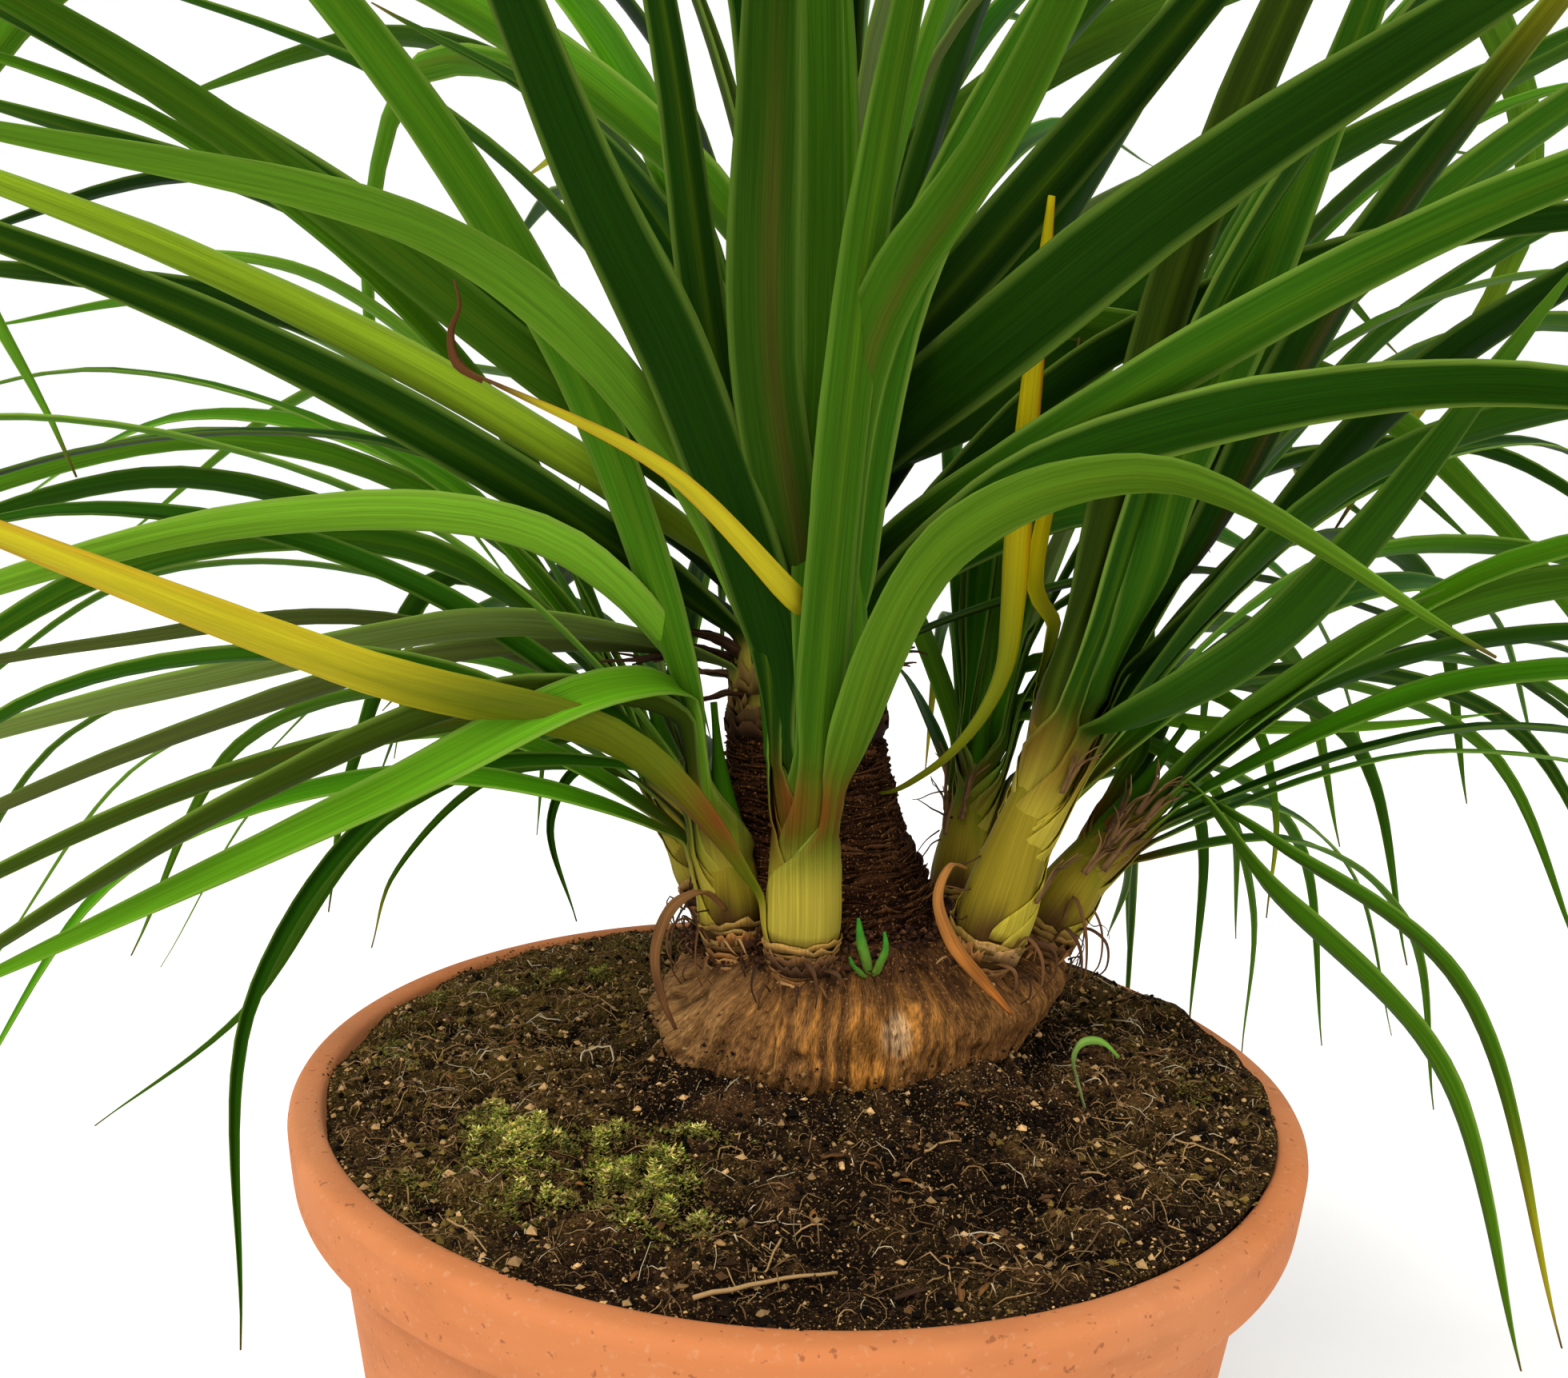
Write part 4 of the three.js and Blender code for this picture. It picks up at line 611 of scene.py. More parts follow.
def add_shell(soup, grid, thickness, tone, strand, towards=None, under_tone=None):
    """A closed thin shell round a grid of points. towards says which way its upper face looks."""
    rows, columns = grid.shape[:2]
    normals = grid_normals(grid)
    upper = quads = grid_quads(rows, columns)
    if towards is not None and np.sum(normals * towards) < 0:
        normals = -normals
        upper = quads[:, ::-1]
    half = np.broadcast_to(np.asarray(thickness, float), (rows, columns))[..., None] / 2
    size = rows * columns
    lower = upper[:, ::-1] + size
    i, j = np.arange(rows - 1), np.arange(columns - 1)
    sides = [np.stack([(i + 1) * columns, i * columns], 1),
             np.stack([i * columns + columns - 1, (i + 1) * columns + columns - 1], 1),
             np.stack([j, j + 1], 1),
             np.stack([(rows - 1) * columns + j + 1, (rows - 1) * columns + j], 1)]
    edges = np.concatenate(sides)
    if upper is not quads:
        edges = edges[:, ::-1]
    rim = np.stack([edges[:, 0], edges[:, 1], edges[:, 1] + size, edges[:, 0] + size], 1)
    tone = np.broadcast_to(tone, (rows, columns, 3))
    under = tone if under_tone is None else np.broadcast_to(under_tone, (rows, columns, 3))
    points = np.concatenate([(grid + normals * half).reshape(-1, 3), (grid - normals * half).reshape(-1, 3)])
    tones = np.concatenate([tone.reshape(-1, 3), under.reshape(-1, 3)])
    strands = np.concatenate([strand.reshape(-1, 3)] * 2)
    soup.add(points, np.concatenate([upper, lower, rim]), tones, strands)


def add_tube(soup, path, radius, tone, sides):
    """A closed tapering tube along a path. radius is one number or one for each point."""
    path = np.asarray(path, float)
    radius = np.broadcast_to(np.asarray(radius, float), (len(path),))
    tangent = tangents_of(path)
    aside = np.where(np.abs(tangent[:, 2:3]) > 0.9, np.array([[1.0, 0, 0]]), UP[None])
    aside = aside[len(path) // 2][None, :]
    across = unit(np.cross(tangent, aside))
    third = np.cross(tangent, across)
    angle = circle(sides)
    ring = across[:, None] * np.cos(angle)[None, :, None] + third[:, None] * np.sin(angle)[None, :, None]
    add_rings(soup, path[:, None] + ring * radius[:, None, None], tone)


def add_rings(soup, rings, tone, strand=None):
    """A closed body through rings of points, capped with a point at each end."""
    rows, sides = rings.shape[:2]
    i, j = np.meshgrid(np.arange(rows - 1), np.arange(sides), indexing="ij")
    a, b = (i * sides + j).ravel(), (i * sides + (j + 1) % sides).ravel()
    quads = np.stack([a, b, b + sides, a + sides], 1)
    body = rings.reshape(-1, 3)
    caps = np.array([rings[0].mean(0), rings[-1].mean(0)])
    j = np.arange(sides)
    first, last = rows * sides, rows * sides + 1
    top = (rows - 1) * sides
    ends = np.concatenate([np.stack([np.full(sides, first), (j + 1) % sides, j], 1),
                           np.stack([np.full(sides, last), top + j, top + (j + 1) % sides], 1)])
    points = np.concatenate([body, caps])
    middle = rings.mean(1)
    outward = body - np.repeat(middle, sides, axis=0)
    faces = points[quads]
    normal = np.cross(faces[:, 1] - faces[:, 0], faces[:, 2] - faces[:, 0])
    if np.sum(normal * outward[quads[:, 0]]) < 0:
        quads, ends = quads[:, ::-1], ends[:, ::-1]
    if strand is None:
        turn = np.tile(np.arange(sides) / sides * 6.0, rows)
        along = running_total(np.linalg.norm(np.diff(middle, axis=0), axis=1))
        strand = field(turn, np.repeat(along, sides), 0.0)
    strand = np.concatenate([strand.reshape(-1, 3), strand.reshape(-1, 3)[[0, -1]]])
    tones = np.broadcast_to(tone, (rows, sides, 3)).reshape(-1, 3)
    tones = np.concatenate([tones, tones[[0, -1]]])
    start = soup.count
    soup.add(points, quads, tones, strand)
    soup.triangles.append(ends + start)


# Smooth repeatable noise
def lattice(cells, seed):
    n = cells[0] * 374761393 + cells[1] * 668265263 + cells[2] * 1274126177 + seed * 144269
    n &= 0xFFFFFFFF
    n = ((n ^ (n >> 13)) * 1274126177) & 0xFFFFFFFF
    n ^= n >> 16
    return n / 2147483647.5 - 1


def noise(points, seed=0):
    """Value noise from -1 to 1 at points in units of its cells."""
    points = np.asarray(points, float)
    base = np.floor(points).astype(np.int64)
    part = points - base
    part = part * part * (3 - 2 * part)
    total = 0
    for corner in range(8):
        step = np.array([corner & 1, corner >> 1 & 1, corner >> 2 & 1])
        cells = np.moveaxis(base + step, -1, 0)
        weight = np.prod(np.where(step, part, 1 - part), axis=-1)
        total = total + weight * lattice(cells, seed)
    return total


def layered_noise(points, octaves, seed=0):
    points = np.asarray(points, float)
    total, size = 0, 1.0
    for octave in range(octaves):
        total = total + size * noise(points * 2.03 ** octave, seed + 17 * octave)
        size *= 0.55
    return total


def circle_noise(angle, size, level, seed):
    """Noise that closes on itself round a circle."""
    return noise(field(size * np.cos(angle), size * np.sin(angle), level), seed)


# Leaves
LEAF_SAMPLES = 120
LEAF_ROWS = np.concatenate([np.arange(12), np.arange(12, 20, 2), np.linspace(20, LEAF_SAMPLES, 29).round()])
LEAF_ROWS = LEAF_ROWS.astype(int)
LEAF_COLUMNS = np.array([-1, -0.93, -0.72, -0.48, -0.24, 0, 0.24, 0.48, 0.72, 0.93, 1])
LEAF_THICKNESS = 0.7
SHEATH_THICKNESS = 0.35
# Every table of stems has a row "other" for the stems that it doesn't name
SHEATH_ROWS = {"crown": 5, "other": 9}
SHEATH_STEP = {"crown": 0.26, "other": 0.5}
SHEATH_PROUD = 3.2
SHEATH_LIGHT = {"right": 1.16, "other": 1}
SHEATH_PARTS_BELOW = (18, 30)
SHEATH_HALF_TURN = (118, 152)
RING_ZONE = 9
# Between which heights above a stem's foot its sheaths turn from yellow to the leaf's own green
GREENING = {"front": (24, 44), "left": (22, 44), "right": (46, 84), "other": (24, 54)}
CROWN_DROP = (12, 25)
LEAF_TONES = {
    "deep": srgb(20, 58, 2), "mid": srgb(37, 83, 5), "fresh": srgb(60, 110, 8), "bright": srgb(92, 146, 26),
    "vivid": srgb(82, 128, 18), "olive": srgb(54, 76, 12), "grey": srgb(92, 110, 50),
    "lime": srgb(110, 140, 16), "bronze": srgb(40, 82, 6), "yellow": srgb(94, 110, 6),
}
GROWN_TONES = ["deep", "mid", "fresh", "bright", "olive", "grey"]
GROWN_SHARES = {"crown": [0.38, 0.32, 0.14, 0.04, 0.08, 0.04], "other": [0.2, 0.3, 0.26, 0.1, 0.08, 0.06]}
# Lime of the leaf margins: partly the leaf's own paler edge, partly painted light shining through and along
# the thin edges
EDGE_LIME_AND_GLOW = srgb(120, 152, 56)
SHEATH_GREEN = srgb(146, 128, 20)
SHEATH_PALE = srgb(170, 150, 54)
SHEATH_CROWN = srgb(150, 134, 48)
SHEATH_RED = srgb(112, 50, 14)
FOOT_TAN = srgb(128, 92, 48)
BRONZE = srgb(84, 60, 22)
YELLOW = srgb(176, 160, 4)
YELLOW_ORANGE = srgb(178, 118, 10)
YELLOW_GREEN = srgb(120, 126, 16)
TIP_BROWN = srgb(92, 56, 28)
# How red the margins turn where the sheaths part, and at what height
REDNESS = {"front": (1.0, 43), "right": (0.6, 62), "far_right": (0.9, 42), "left": (0.5, 40),
           "other": (0.3, 44)}
LONGEST_SHEATH = 40
# Lengths of the waves along a leaf's two margins and its middle, and of the clouds in its colour
MARGIN_WAVES = (17, 14)
BLADE_WAVE = 75
CLOUD_LENGTH = 26

# The stems' feet
CORE_ROWS = 44
CORE_SIDES = 36
COLLAR_SAMPLES = 32
SCAR_COUNT = 11
COLLAR_COUNT = 3
STRIP_COUNT = 14
SHRED_THREADS = 5
TENDRIL_STEPS = 5
TENDRIL_SAMPLES = 18
CROWN_COLLARS = 12
STUB_LAYERS = 3
# A low band's three rows, as shares of its height
BAND = np.array([0, 0.5, 1])
DRIED_TONES = [srgb(150, 100, 50), srgb(112, 76, 42), srgb(82, 54, 32), srgb(160, 122, 74), srgb(60, 38, 24)]
# The curled dry hooks at each stem's foot: azimuth, reach and rise
HOOKS = {
    "left": [(195, 9, 8), (225, 7, 5), (165, 10, 4)],
    "front": [(300, 6, 1), (240, 5, 0), (275, 7, 3)],
    "right": [(318, 9, 6), (345, 11, 4), (290, 7, 1)],
    "far_right": [(300, 10, 6), (332, 13, 5), (350, 11, 9), (20, 10, 5), (315, 8, 12)],
}
# Where the yellow leaf beside the right stem runs, and its width there
YELLOW_RIGHT_PATH = [(18, 2, 315), (25, -6, 317), (33, -13, 323.4), (41, -19, 331.7), (49, -23, 344),
                     (54, -25, 357.6), (55, -27, 375), (54.6, -31, 392.6), (54.2, -36, 410),
                     (54.6, -41, 440), (56, -45, 482)]
YELLOW_RIGHT_WIDTHS = [2, 2.5, 3.2, 4.6, 6.8, 8.2, 8.0, 7.0, 6.0, 4.5, 2]
# Where dead leaf stubs stick out of the crown's foot: azimuth, rise, length and width
DEAD_STUBS = [(178, 14, 34, 9), (192, 4, 40, 7), (205, 22, 28, 8), (165, -2, 36, 6), (215, 2, 24, 5),
              (150, 12, 30, 7), (20, 10, 22, 6), (340, 30, 16, 7), (95, 8, 26, 7)]
# Torn brown shreds of old sheath: stem, height on it, azimuth, length and width
SHREDS = [("far_right", 44, 262, 12, 3.4), ("far_right", 50, 248, 15, 2.6), ("far_right", 40, 282, 13, 3.0),
          ("far_right", 55, 300, 14, 3.2), ("far_right", 36, 255, 9, 2.4), ("far_right", 60, 275, 12, 2.2),
          ("right", 64, 300, 11, 2.2), ("right", 30, 322, 12, 2.0),
          ("back_right", 40, 250, 14, 2.6), ("back_right", 34, 222, 12, 2.4),
          ("back_left", 40, 280, 12, 2.4), ("back_right", 44, 200, 15, 2.0)]
# Where thin dry tendrils hang from the stems: stem, height and azimuth
TENDRILS = [("back_right", 28, 200), ("back_right", 36, 225), ("back_right", 44, 190), ("right", 24, 200),
            ("right", 16, 215), ("right", 34, 190), ("back_right", 18, 240), ("left", 22, 200),
            ("left", 14, 230), ("far_right", 10, 300), ("far_right", 14, 330), ("back_left", 16, 250),
            ("back_right", 30, 170)]


def of_stem(table, name):
    return table.get(name, table["other"])


def stack_sheaths(leaves):
    """Gives each leaf its place in its stem's roll of sheaths. The one rooted lowest lies outside."""
    for name, stem in STEMS.items():
        own = sorted((leaf for leaf in leaves if leaf["stem"] == name), key=lambda leaf: leaf["height"])
        roots = np.array([leaf["height"] * stem["length"] for leaf in own]) + 0.01 * np.arange(len(own))
        for rank, leaf in enumerate(own):
            leaf["rank"], leaf["roots"] = rank, roots


def bulb_radius(stem, height_mm):
    """The roll's own radius: it swells a little above a narrower foot."""
    radius = stem_radius(stem, np.clip(height_mm / stem["length"], 0, 1.05))
    if stem["plug"]:
        radius = radius * (0.7 + 0.34 * smooth(-4, 16, height_mm) - 0.06 * smooth(18, 44, height_mm))
    return radius


def sheath_radius(leaf, stem, height_mm):
    open_count = np.interp(height_mm, leaf["roots"], np.arange(len(leaf["roots"])))
    step = of_stem(SHEATH_STEP, leaf["stem"]) * (open_count - leaf["rank"])
    proud = SHEATH_PROUD * (1 - np.exp(-np.maximum(0, step) / SHEATH_PROUD))
    return bulb_radius(stem, height_mm) + np.where(step > 0, proud, step)


def add_leaf(soup, leaf, random):
    stem = STEMS[leaf["stem"]]
    axis, foot = stem_axis(stem), np.array(stem["foot"], float)
    frames = leaf_frames(leaf, LEAF_SAMPLES)
    length = np.linalg.norm(np.diff(frames["point"], axis=0), axis=1).sum()
    outward = frames["outward"]
    point, across, normal, s = (frames[k][LEAF_ROWS] for k in ("point", "across", "normal", "s"))
    along = s * length
    root_mm = leaf["height"] * stem["length"]
    low_rows = of_stem(SHEATH_ROWS, leaf["stem"])
    if leaf["stem"] == "crown":
        drop = min(root_mm - 1, mix(*CROWN_DROP, random.rand()))
    else:
        drop = root_mm - min(root_mm - 1, RING_ZONE - 1 + 3 * random.rand())
    lift = min(leaf["lift"], LONGEST_SHEATH)
    wrap = 1 - smooth(0.1 * lift / length, (lift + 12) / length, s)
    sideways = np.cross(axis, outward)
    sideways = sideways * (np.sign(np.dot(across[8], sideways)) or 1)
    taper = np.minimum(1, (1 - s) / LEAF_TAPER) ** 0.8
    neck = mix(NECK_WIDTH, 1, smooth(0, NECK_RUN + 0.04, s))
    half_width = np.maximum(0.25, leaf["width"] / 2 * taper * neck)
    rise_mm = (point - foot) @ axis
    radius = sheath_radius(leaf, stem, rise_mm)
    sunk = radius + 0.4 - (point - foot) @ outward
    push = (sunk + np.sqrt(sunk ** 2 + 3)) / 2 * (1 - smooth(lift + 15, lift + 50, along))
    point = point + outward * push[:, None]
    closed = np.radians(mix(*SHEATH_HALF_TURN, random.rand()))
    parted = leaf["width"] * NECK_WIDTH / 2 / radius[0] * (1.1 + 0.6 * random.rand())
    opening = (root_mm - mix(*SHEATH_PARTS_BELOW, random.rand()), root_mm + 0.3 * lift)

    def half_turn(height_mm):
        return mix(closed, min(parted, closed), smooth(*opening, height_mm))

    turn = mix(half_width / radius, half_turn(rise_mm), wrap ** 1.4)
    u = LEAF_COLUMNS[None, :]

    def around(height_mm, radius, turn):
        angle = u * turn[:, None]
        ring = outward * np.cos(angle)[..., None] + sideways * np.sin(angle)[..., None]
        tucked = radius[:, None] - 0.35 * np.abs(u) ** 3
        return foot + axis * height_mm[:, None, None] + ring * tucked[..., None]

    seed = random.rand(4) * 50
    grown = np.minimum(1, s / 0.2)[:, None]

    def wave(cell_mm, start):
        return noise(field(along / cell_mm, start, 0))[:, None] * grown

    side_wave = np.where(u > 0, wave(MARGIN_WAVES[0], seed[0]), wave(MARGIN_WAVES[1], seed[1]))
    fold = LEAF_KEEL * (0.7 + 0.9 * seed[0] / 50) * half_width[:, None] * 2 * (1 - np.abs(u) ** 1.15)
    offset = 0.06 * side_wave * np.abs(u) ** 2 * half_width[:, None] - fold
    offset = offset + 0.5 * wave(BLADE_WAVE, seed[2])
    reach = u * half_width[:, None] * (1 + 0.03 * side_wave)
    blade = point[:, None] + across[:, None] * reach[..., None] + normal[:, None] * offset[..., None]
    grid = mix(blade, around(rise_mm, radius, turn), wrap[:, None, None])
    down = np.linspace(1, 1 / low_rows, low_rows)
    low_mm = root_mm - drop * down
    low_turns = half_turn(low_mm)
    low_radius = sheath_radius(leaf, stem, low_mm)
    grid = np.concatenate([around(low_mm, low_radius, low_turns), grid])
    run_mm = np.concatenate([low_mm, np.maximum(rise_mm[0], root_mm) + along])
    s_all = np.concatenate([np.zeros(low_rows), s])
    wrap_all = np.concatenate([np.ones(low_rows), wrap])
    half_all = np.concatenate([low_turns * low_radius, mix(half_width, turn * radius, wrap)])
    strand = field(u * half_all[:, None], run_mm[:, None], seed[3])
    tone = leaf_tone(leaf, random, s_all, run_mm, wrap_all)
    thickness = mix(LEAF_THICKNESS, 0.3, smooth(0.6, 1, s_all))
    thickness = mix(thickness, SHEATH_THICKNESS, smooth(0.3, 0.9, wrap_all))[:, None]
    thickness = thickness * np.where(np.abs(u) == 1, 0.4, 1)
    towards = np.concatenate([np.repeat(normal[:1], low_rows, 0), normal])[:, None]
    towards = np.where(wrap_all[:, None, None] > 0.5, -outward, towards)
    under = mix(tone, tone.mean(-1, keepdims=True) * np.array([1, 1.15, 0.2]), 0.2) * 1.12
    # Painted light and shade across the fold: one half of each blade is lighter and the other darker; the
    # sheaths stay plain
    painted_fold_light = 1 + 0.16 * np.clip(3 * LEAF_COLUMNS, -1, 1)[None, :, None] * np.sign(seed[2] - 25)
    cloudy = noise(field(run_mm[:, None] / CLOUD_LENGTH, u * 1.3, seed[1]))
    tone = tone * mix(painted_fold_light, 1, wrap_all[:, None, None]) * (1 + 0.14 * cloudy[..., None])
    add_shell(soup, grid, thickness, tone, strand, towards, under)


def leaf_tone(leaf, random, s, run_mm, wrap):
    chance = random.rand(6)
    crown = leaf["stem"] == "crown"
    shares = np.cumsum(of_stem(GROWN_SHARES, leaf["stem"]))
    grown = GROWN_TONES[np.searchsorted(shares, chance[0] * 0.999)]
    name = leaf.get("tone", grown)
    body = LEAF_TONES[name] * (0.56 + 0.8 * chance[1]) * np.array([1 + 0.2 * (chance[5] - 0.5), 1, 1])
    u = LEAF_COLUMNS[None, :, None]
    rows, run = s[:, None, None], run_mm[:, None, None]
    edge, middle = smooth(0.82, 0.93, np.abs(u)), 1 - smooth(0.0, 0.32, np.abs(u))
    tone = np.broadcast_to(body, (len(s), len(LEAF_COLUMNS), 3))
    if name == "yellow":
        front = leaf["node"] == "yellow_front_leaf"
        start = (0.36, 0.56) if front else (0.12, 0.5)
        tone = mix(tone, YELLOW, smooth(*start, rows + 0.05 * np.abs(u)))
        tone = mix(tone, YELLOW_ORANGE, 0.6 * smooth(0.5, 0.8, np.abs(u)) * smooth(0.4, 0.8, rows))
        tone = mix(tone, TIP_BROWN, smooth(0.97, 1, rows) if front else smooth(0.86, 0.95, rows))
    else:
        # Painted shade: each blade is darkened near its foot, where it sits in the heart of its stem, most of
        # all in the crown
        painted_heart_shade = (0.36 if crown else 0.14) * (1 - smooth(0.02, 0.34 if crown else 0.2, rows))
        tone = tone * (1 - painted_heart_shade - 0.12 * smooth(0.3, 0.9, rows) * chance[3])
        tone = mix(tone, LEAF_TONES["bright"], 0.4 * chance[2] * smooth(0.72, 1, rows))
        if chance[3] > 0.86:
            tone = mix(tone, YELLOW * 0.85, 0.8 * smooth(0.6 + 0.3 * chance[2], 0.98, rows))
        tone = mix(tone, TIP_BROWN, smooth(0.975 - 0.06 * chance[3] ** 4, 1, rows))
        # Lime margins: partly the leaf's own colour, partly painted light on the edges
        tone = mix(tone, EDGE_LIME_AND_GLOW, (0.15 + 0.55 * chance[1]) * edge)
        tone = mix(tone, LEAF_TONES["lime"], (0.16 + 0.34 * (name == "lime")) * middle * (chance[4] > 0.45))
        if name == "bronze" or chance[4] < 0.1:
            streak = bell(u, 0.2, 0.22) * (1 - smooth(0.45, 0.75, rows)) * smooth(0.08, 0.2, rows)
            tone = mix(tone, BRONZE, 0.45 * streak)
    held = smooth(0.05, 0.8, wrap)[:, None, None]
    if crown:
        sheath = mix(SHEATH_CROWN, tone, smooth(14, 60, run))
    else:
        sheath = mix(SHEATH_GREEN, SHEATH_PALE, 0.3 + 0.5 * chance[3] + 0.2 * (1 - smooth(8, 26, run)))
        sheath = sheath * 1.06 * of_stem(SHEATH_LIGHT, leaf["stem"])
        sheath = mix(sheath, FOOT_TAN, 1 - smooth(RING_ZONE - 2, RING_ZONE + 5, run))
        sheath = mix(sheath, tone, smooth(*of_stem(GREENING, leaf["stem"]), run))
    tone = mix(tone, sheath, held)
    if not crown:
        red, height = of_stem(REDNESS, leaf["stem"])
        red = red * (0.7 + 0.3 * chance[5])
        sides = 0.6 + 0.4 * smooth(0.1, 0.8, np.abs(u))
        tone = mix(tone, SHEATH_RED, red * sides * bell(run - height - 8 * chance[4], 0, 12))
    return tone


def stem_frame(stem):
    """The stem's foot, its axis and two directions across it."""
    axis = stem_axis(stem)
    across = unit(np.array([0, 1, 0]) - axis * axis[1])
    return np.array(stem["foot"], float), axis, across, np.cross(axis, across)


def ring_round(across, third, angle):
    return across * np.cos(angle)[:, None] + third * np.sin(angle)[:, None]


def add_core(soup, name, stem):
    """The inside of the roll: a smooth core whose foot shows below the sheaths."""
    foot, axis, across, third = stem_frame(stem)
    plug = stem["plug"]
    heights = np.linspace(-plug if plug else 1, stem["length"] * 1.3, CORE_ROWS)
    share = heights / stem["length"]
    shrink = (0.96 if plug else 0.9) - 0.08 * smooth(2, 12, heights) - 0.75 * smooth(0.25, 1.25, share)
    radius = bulb_radius(stem, heights) * shrink
    angle = circle(CORE_SIDES)
    ring = ring_round(across, third, angle)
    rings = foot + axis * heights[:, None, None] + ring[None] * radius[:, None, None]
    uneven = heights[:, None] + 7 * circle_noise(angle, 3, heights[:, None] / 30, 113)
    tone = mix(FOOT_TAN * 0.35, mix(SHEATH_GREEN, SHEATH_PALE, 0.4) * 0.82, smooth(8, 24, uneven)[..., None])
    green = smooth(*of_stem(GREENING, name), uneven)[..., None]
    tone = mix(tone, LEAF_TONES["fresh"] * 0.8, green)
    add_rings(soup, rings, tone, field(angle[None] * 12, heights[:, None], 3.0))


def add_collar(soup, stem, height_mm, radius, tall, tone, random, flare, ragged, turn=(0, 360), lean=1.0):
    """A short ragged band round a stem's foot, left by an old sheath."""
    foot, axis, across, third = stem_frame(stem)
    angle = np.radians(np.linspace(turn[0], turn[1], COLLAR_SAMPLES))
    seed = random.randint(1000)
    wave, spikes = (circle_noise(angle, size, seed, 0) for size in (3, 15))
    ring = ring_round(across, third, angle)
    rows = []
    slope = lean * np.cos(angle - seed)
    for part in BAND:
        height = height_mm + slope + 0.9 * wave + tall * part * (1 + 0.6 * ragged * spikes)
        out = radius + flare * part ** 2 * (1 + wave) + 0.15 * spikes
        rows.append(foot + axis * height[:, None] + ring * out[:, None])
    # Painted shade and light: each band is darkest at its foot, in the gap against the stem, and lightest at
    # its top edge
    shade = np.array([0.45, 0.85, 1.15])[:, None, None] * (1 + 0.3 * wave)[None, :, None]
    strand = field(angle[None] * radius, BAND[:, None] * tall, seed * 1.0)
    add_shell(soup, np.array(rows), 0.4, tone * shade, strand)


def route_axes(path, samples, facing):
    """Points along a path, with its tangents and the directions across it."""
    points = curve_through(path, samples)
    tangent = tangents_of(points)
    facing = np.asarray(facing, float)
    return points, tangent, unit(facing - tangent * (tangent @ facing)[:, None])


def widths_at(s, widths):
    return np.interp(s * (len(widths) - 1), range(len(widths)), widths)


def add_ribbon(soup, path, widths, tone, samples, twist, facing, cup=0.18, thickness=0.3, rough=None,
               columns=3):
    """A thin ribbon along a path. rough is the size, the cell and the seed of its unevenness."""
    points, tangent, across = route_axes(path, samples, facing)
    s = np.arange(samples + 1) / samples
    turn = (twist * s)[:, None]
    across = across * np.cos(turn) + np.cross(tangent, across) * np.sin(turn)
    normal = np.cross(tangent, across)
    width = widths_at(s, widths)[:, None]
    u = np.linspace(-1, 1, columns)
    aside = u * width / 2
    grid = points[:, None] + across[:, None] * aside[..., None]
    grid = grid + normal[:, None] * (-cup * width * (1 - np.abs(u)))[..., None]
    if rough:
        size, cell, seed = rough
        grid = grid + size * noise(grid / cell, seed)[..., None]
    add_shell(soup, grid, thickness, tone, field(aside, s[:, None] * 40, widths[0]))


def any_dried_tone(random, darkest, spread):
    return DRIED_TONES[random.randint(len(DRIED_TONES))] * (darkest + spread * random.rand())


def add_foot_dress(soup, name, stem, random):
    """Ringed scars, ragged collars and curled dry strips where a side stem stands on the bulb."""
    foot, axis, across, third = stem_frame(stem)
    for i in range(SCAR_COUNT):
        height = -5 + 1.3 * i
        tone = mix(DRIED_TONES[0], DRIED_TONES[3], random.rand()) * (0.75 + 0.5 * random.rand())
        tone = mix(tone, SHEATH_PALE * 0.8, max(0, 0.1 * (i - 6)))
        radius = bulb_radius(stem, height) * (1.07 - 0.004 * i + 0.05 * random.rand())
        tall = 1.2 + 1.2 * random.rand()
        add_collar(soup, stem, height, radius, tall, tone, random, 0.4, 1.2, lean=1.4)
    radius = bulb_radius(stem, 6) * 1.07
    for i in range(COLLAR_COUNT):
        start = 360 * random.rand()
        tone = DRIED_TONES[random.randint(4)]
        height, tall = 1 + 4 * random.rand(), 2.5 + 2 * random.rand()
        turn = (start, start + 60 + 90 * random.rand())
        add_collar(soup, stem, height, radius, tall, tone, random, 0.9, 0.9, turn)
    radius = stem["radius"][0]
    for i in range(STRIP_COUNT):
        turn = 2 * np.pi * (i + random.rand()) / STRIP_COUNT
        out = across * np.cos(turn) + third * np.sin(turn)
        side = np.cross(axis, out)
        start = foot + axis * (-2 + 9 * random.rand()) + out * radius * 1.05
        reach, sink = 2 + 6 * random.rand(), 3 + 8 * random.rand()
        aside = side * (random.rand() - 0.5) * 14
        path = [start - axis * 2, start + out * reach * 0.6 + axis * 1.0 + aside * 0.2,
                start + out * reach - axis * sink * 0.5 + aside * 0.7,
                start + out * reach * 0.7 - axis * sink + aside]
        widths = [0.5 + 0.8 * random.rand(), 0.7 + 0.6 * random.rand(), 0.5, 0.2]
        twist = 2.5 * (random.rand() - 0.5)
        add_ribbon(soup, path, widths, any_dried_tone(random, 0.7, 0.5), 8, twist, side)
    for azimuth, reach, rise in HOOKS.get(name, []):
        out = direction(azimuth, 0)
        side = np.cross(UP, out)
        start = foot + out * radius * 0.95 + UP * (2.0 + rise * 0.5)
        path = [start, start + out * reach * 0.55 + UP * rise,
                start + out * reach + UP * rise * 0.2 + side * 2,
                start + out * reach * 1.02 - UP * (rise * 0.9 + 3) + side * 3,
                start + out * reach * 0.7 - UP * (rise + 7) + side * 3]
        tone = DRIED_TONES[random.randint(1, 3)]
        widths = [1.2, 1.4, 1.0, 0.6, 0.25]
        add_ribbon(soup, path, widths, tone, samples=22, twist=1.2, facing=side, cup=0.25)


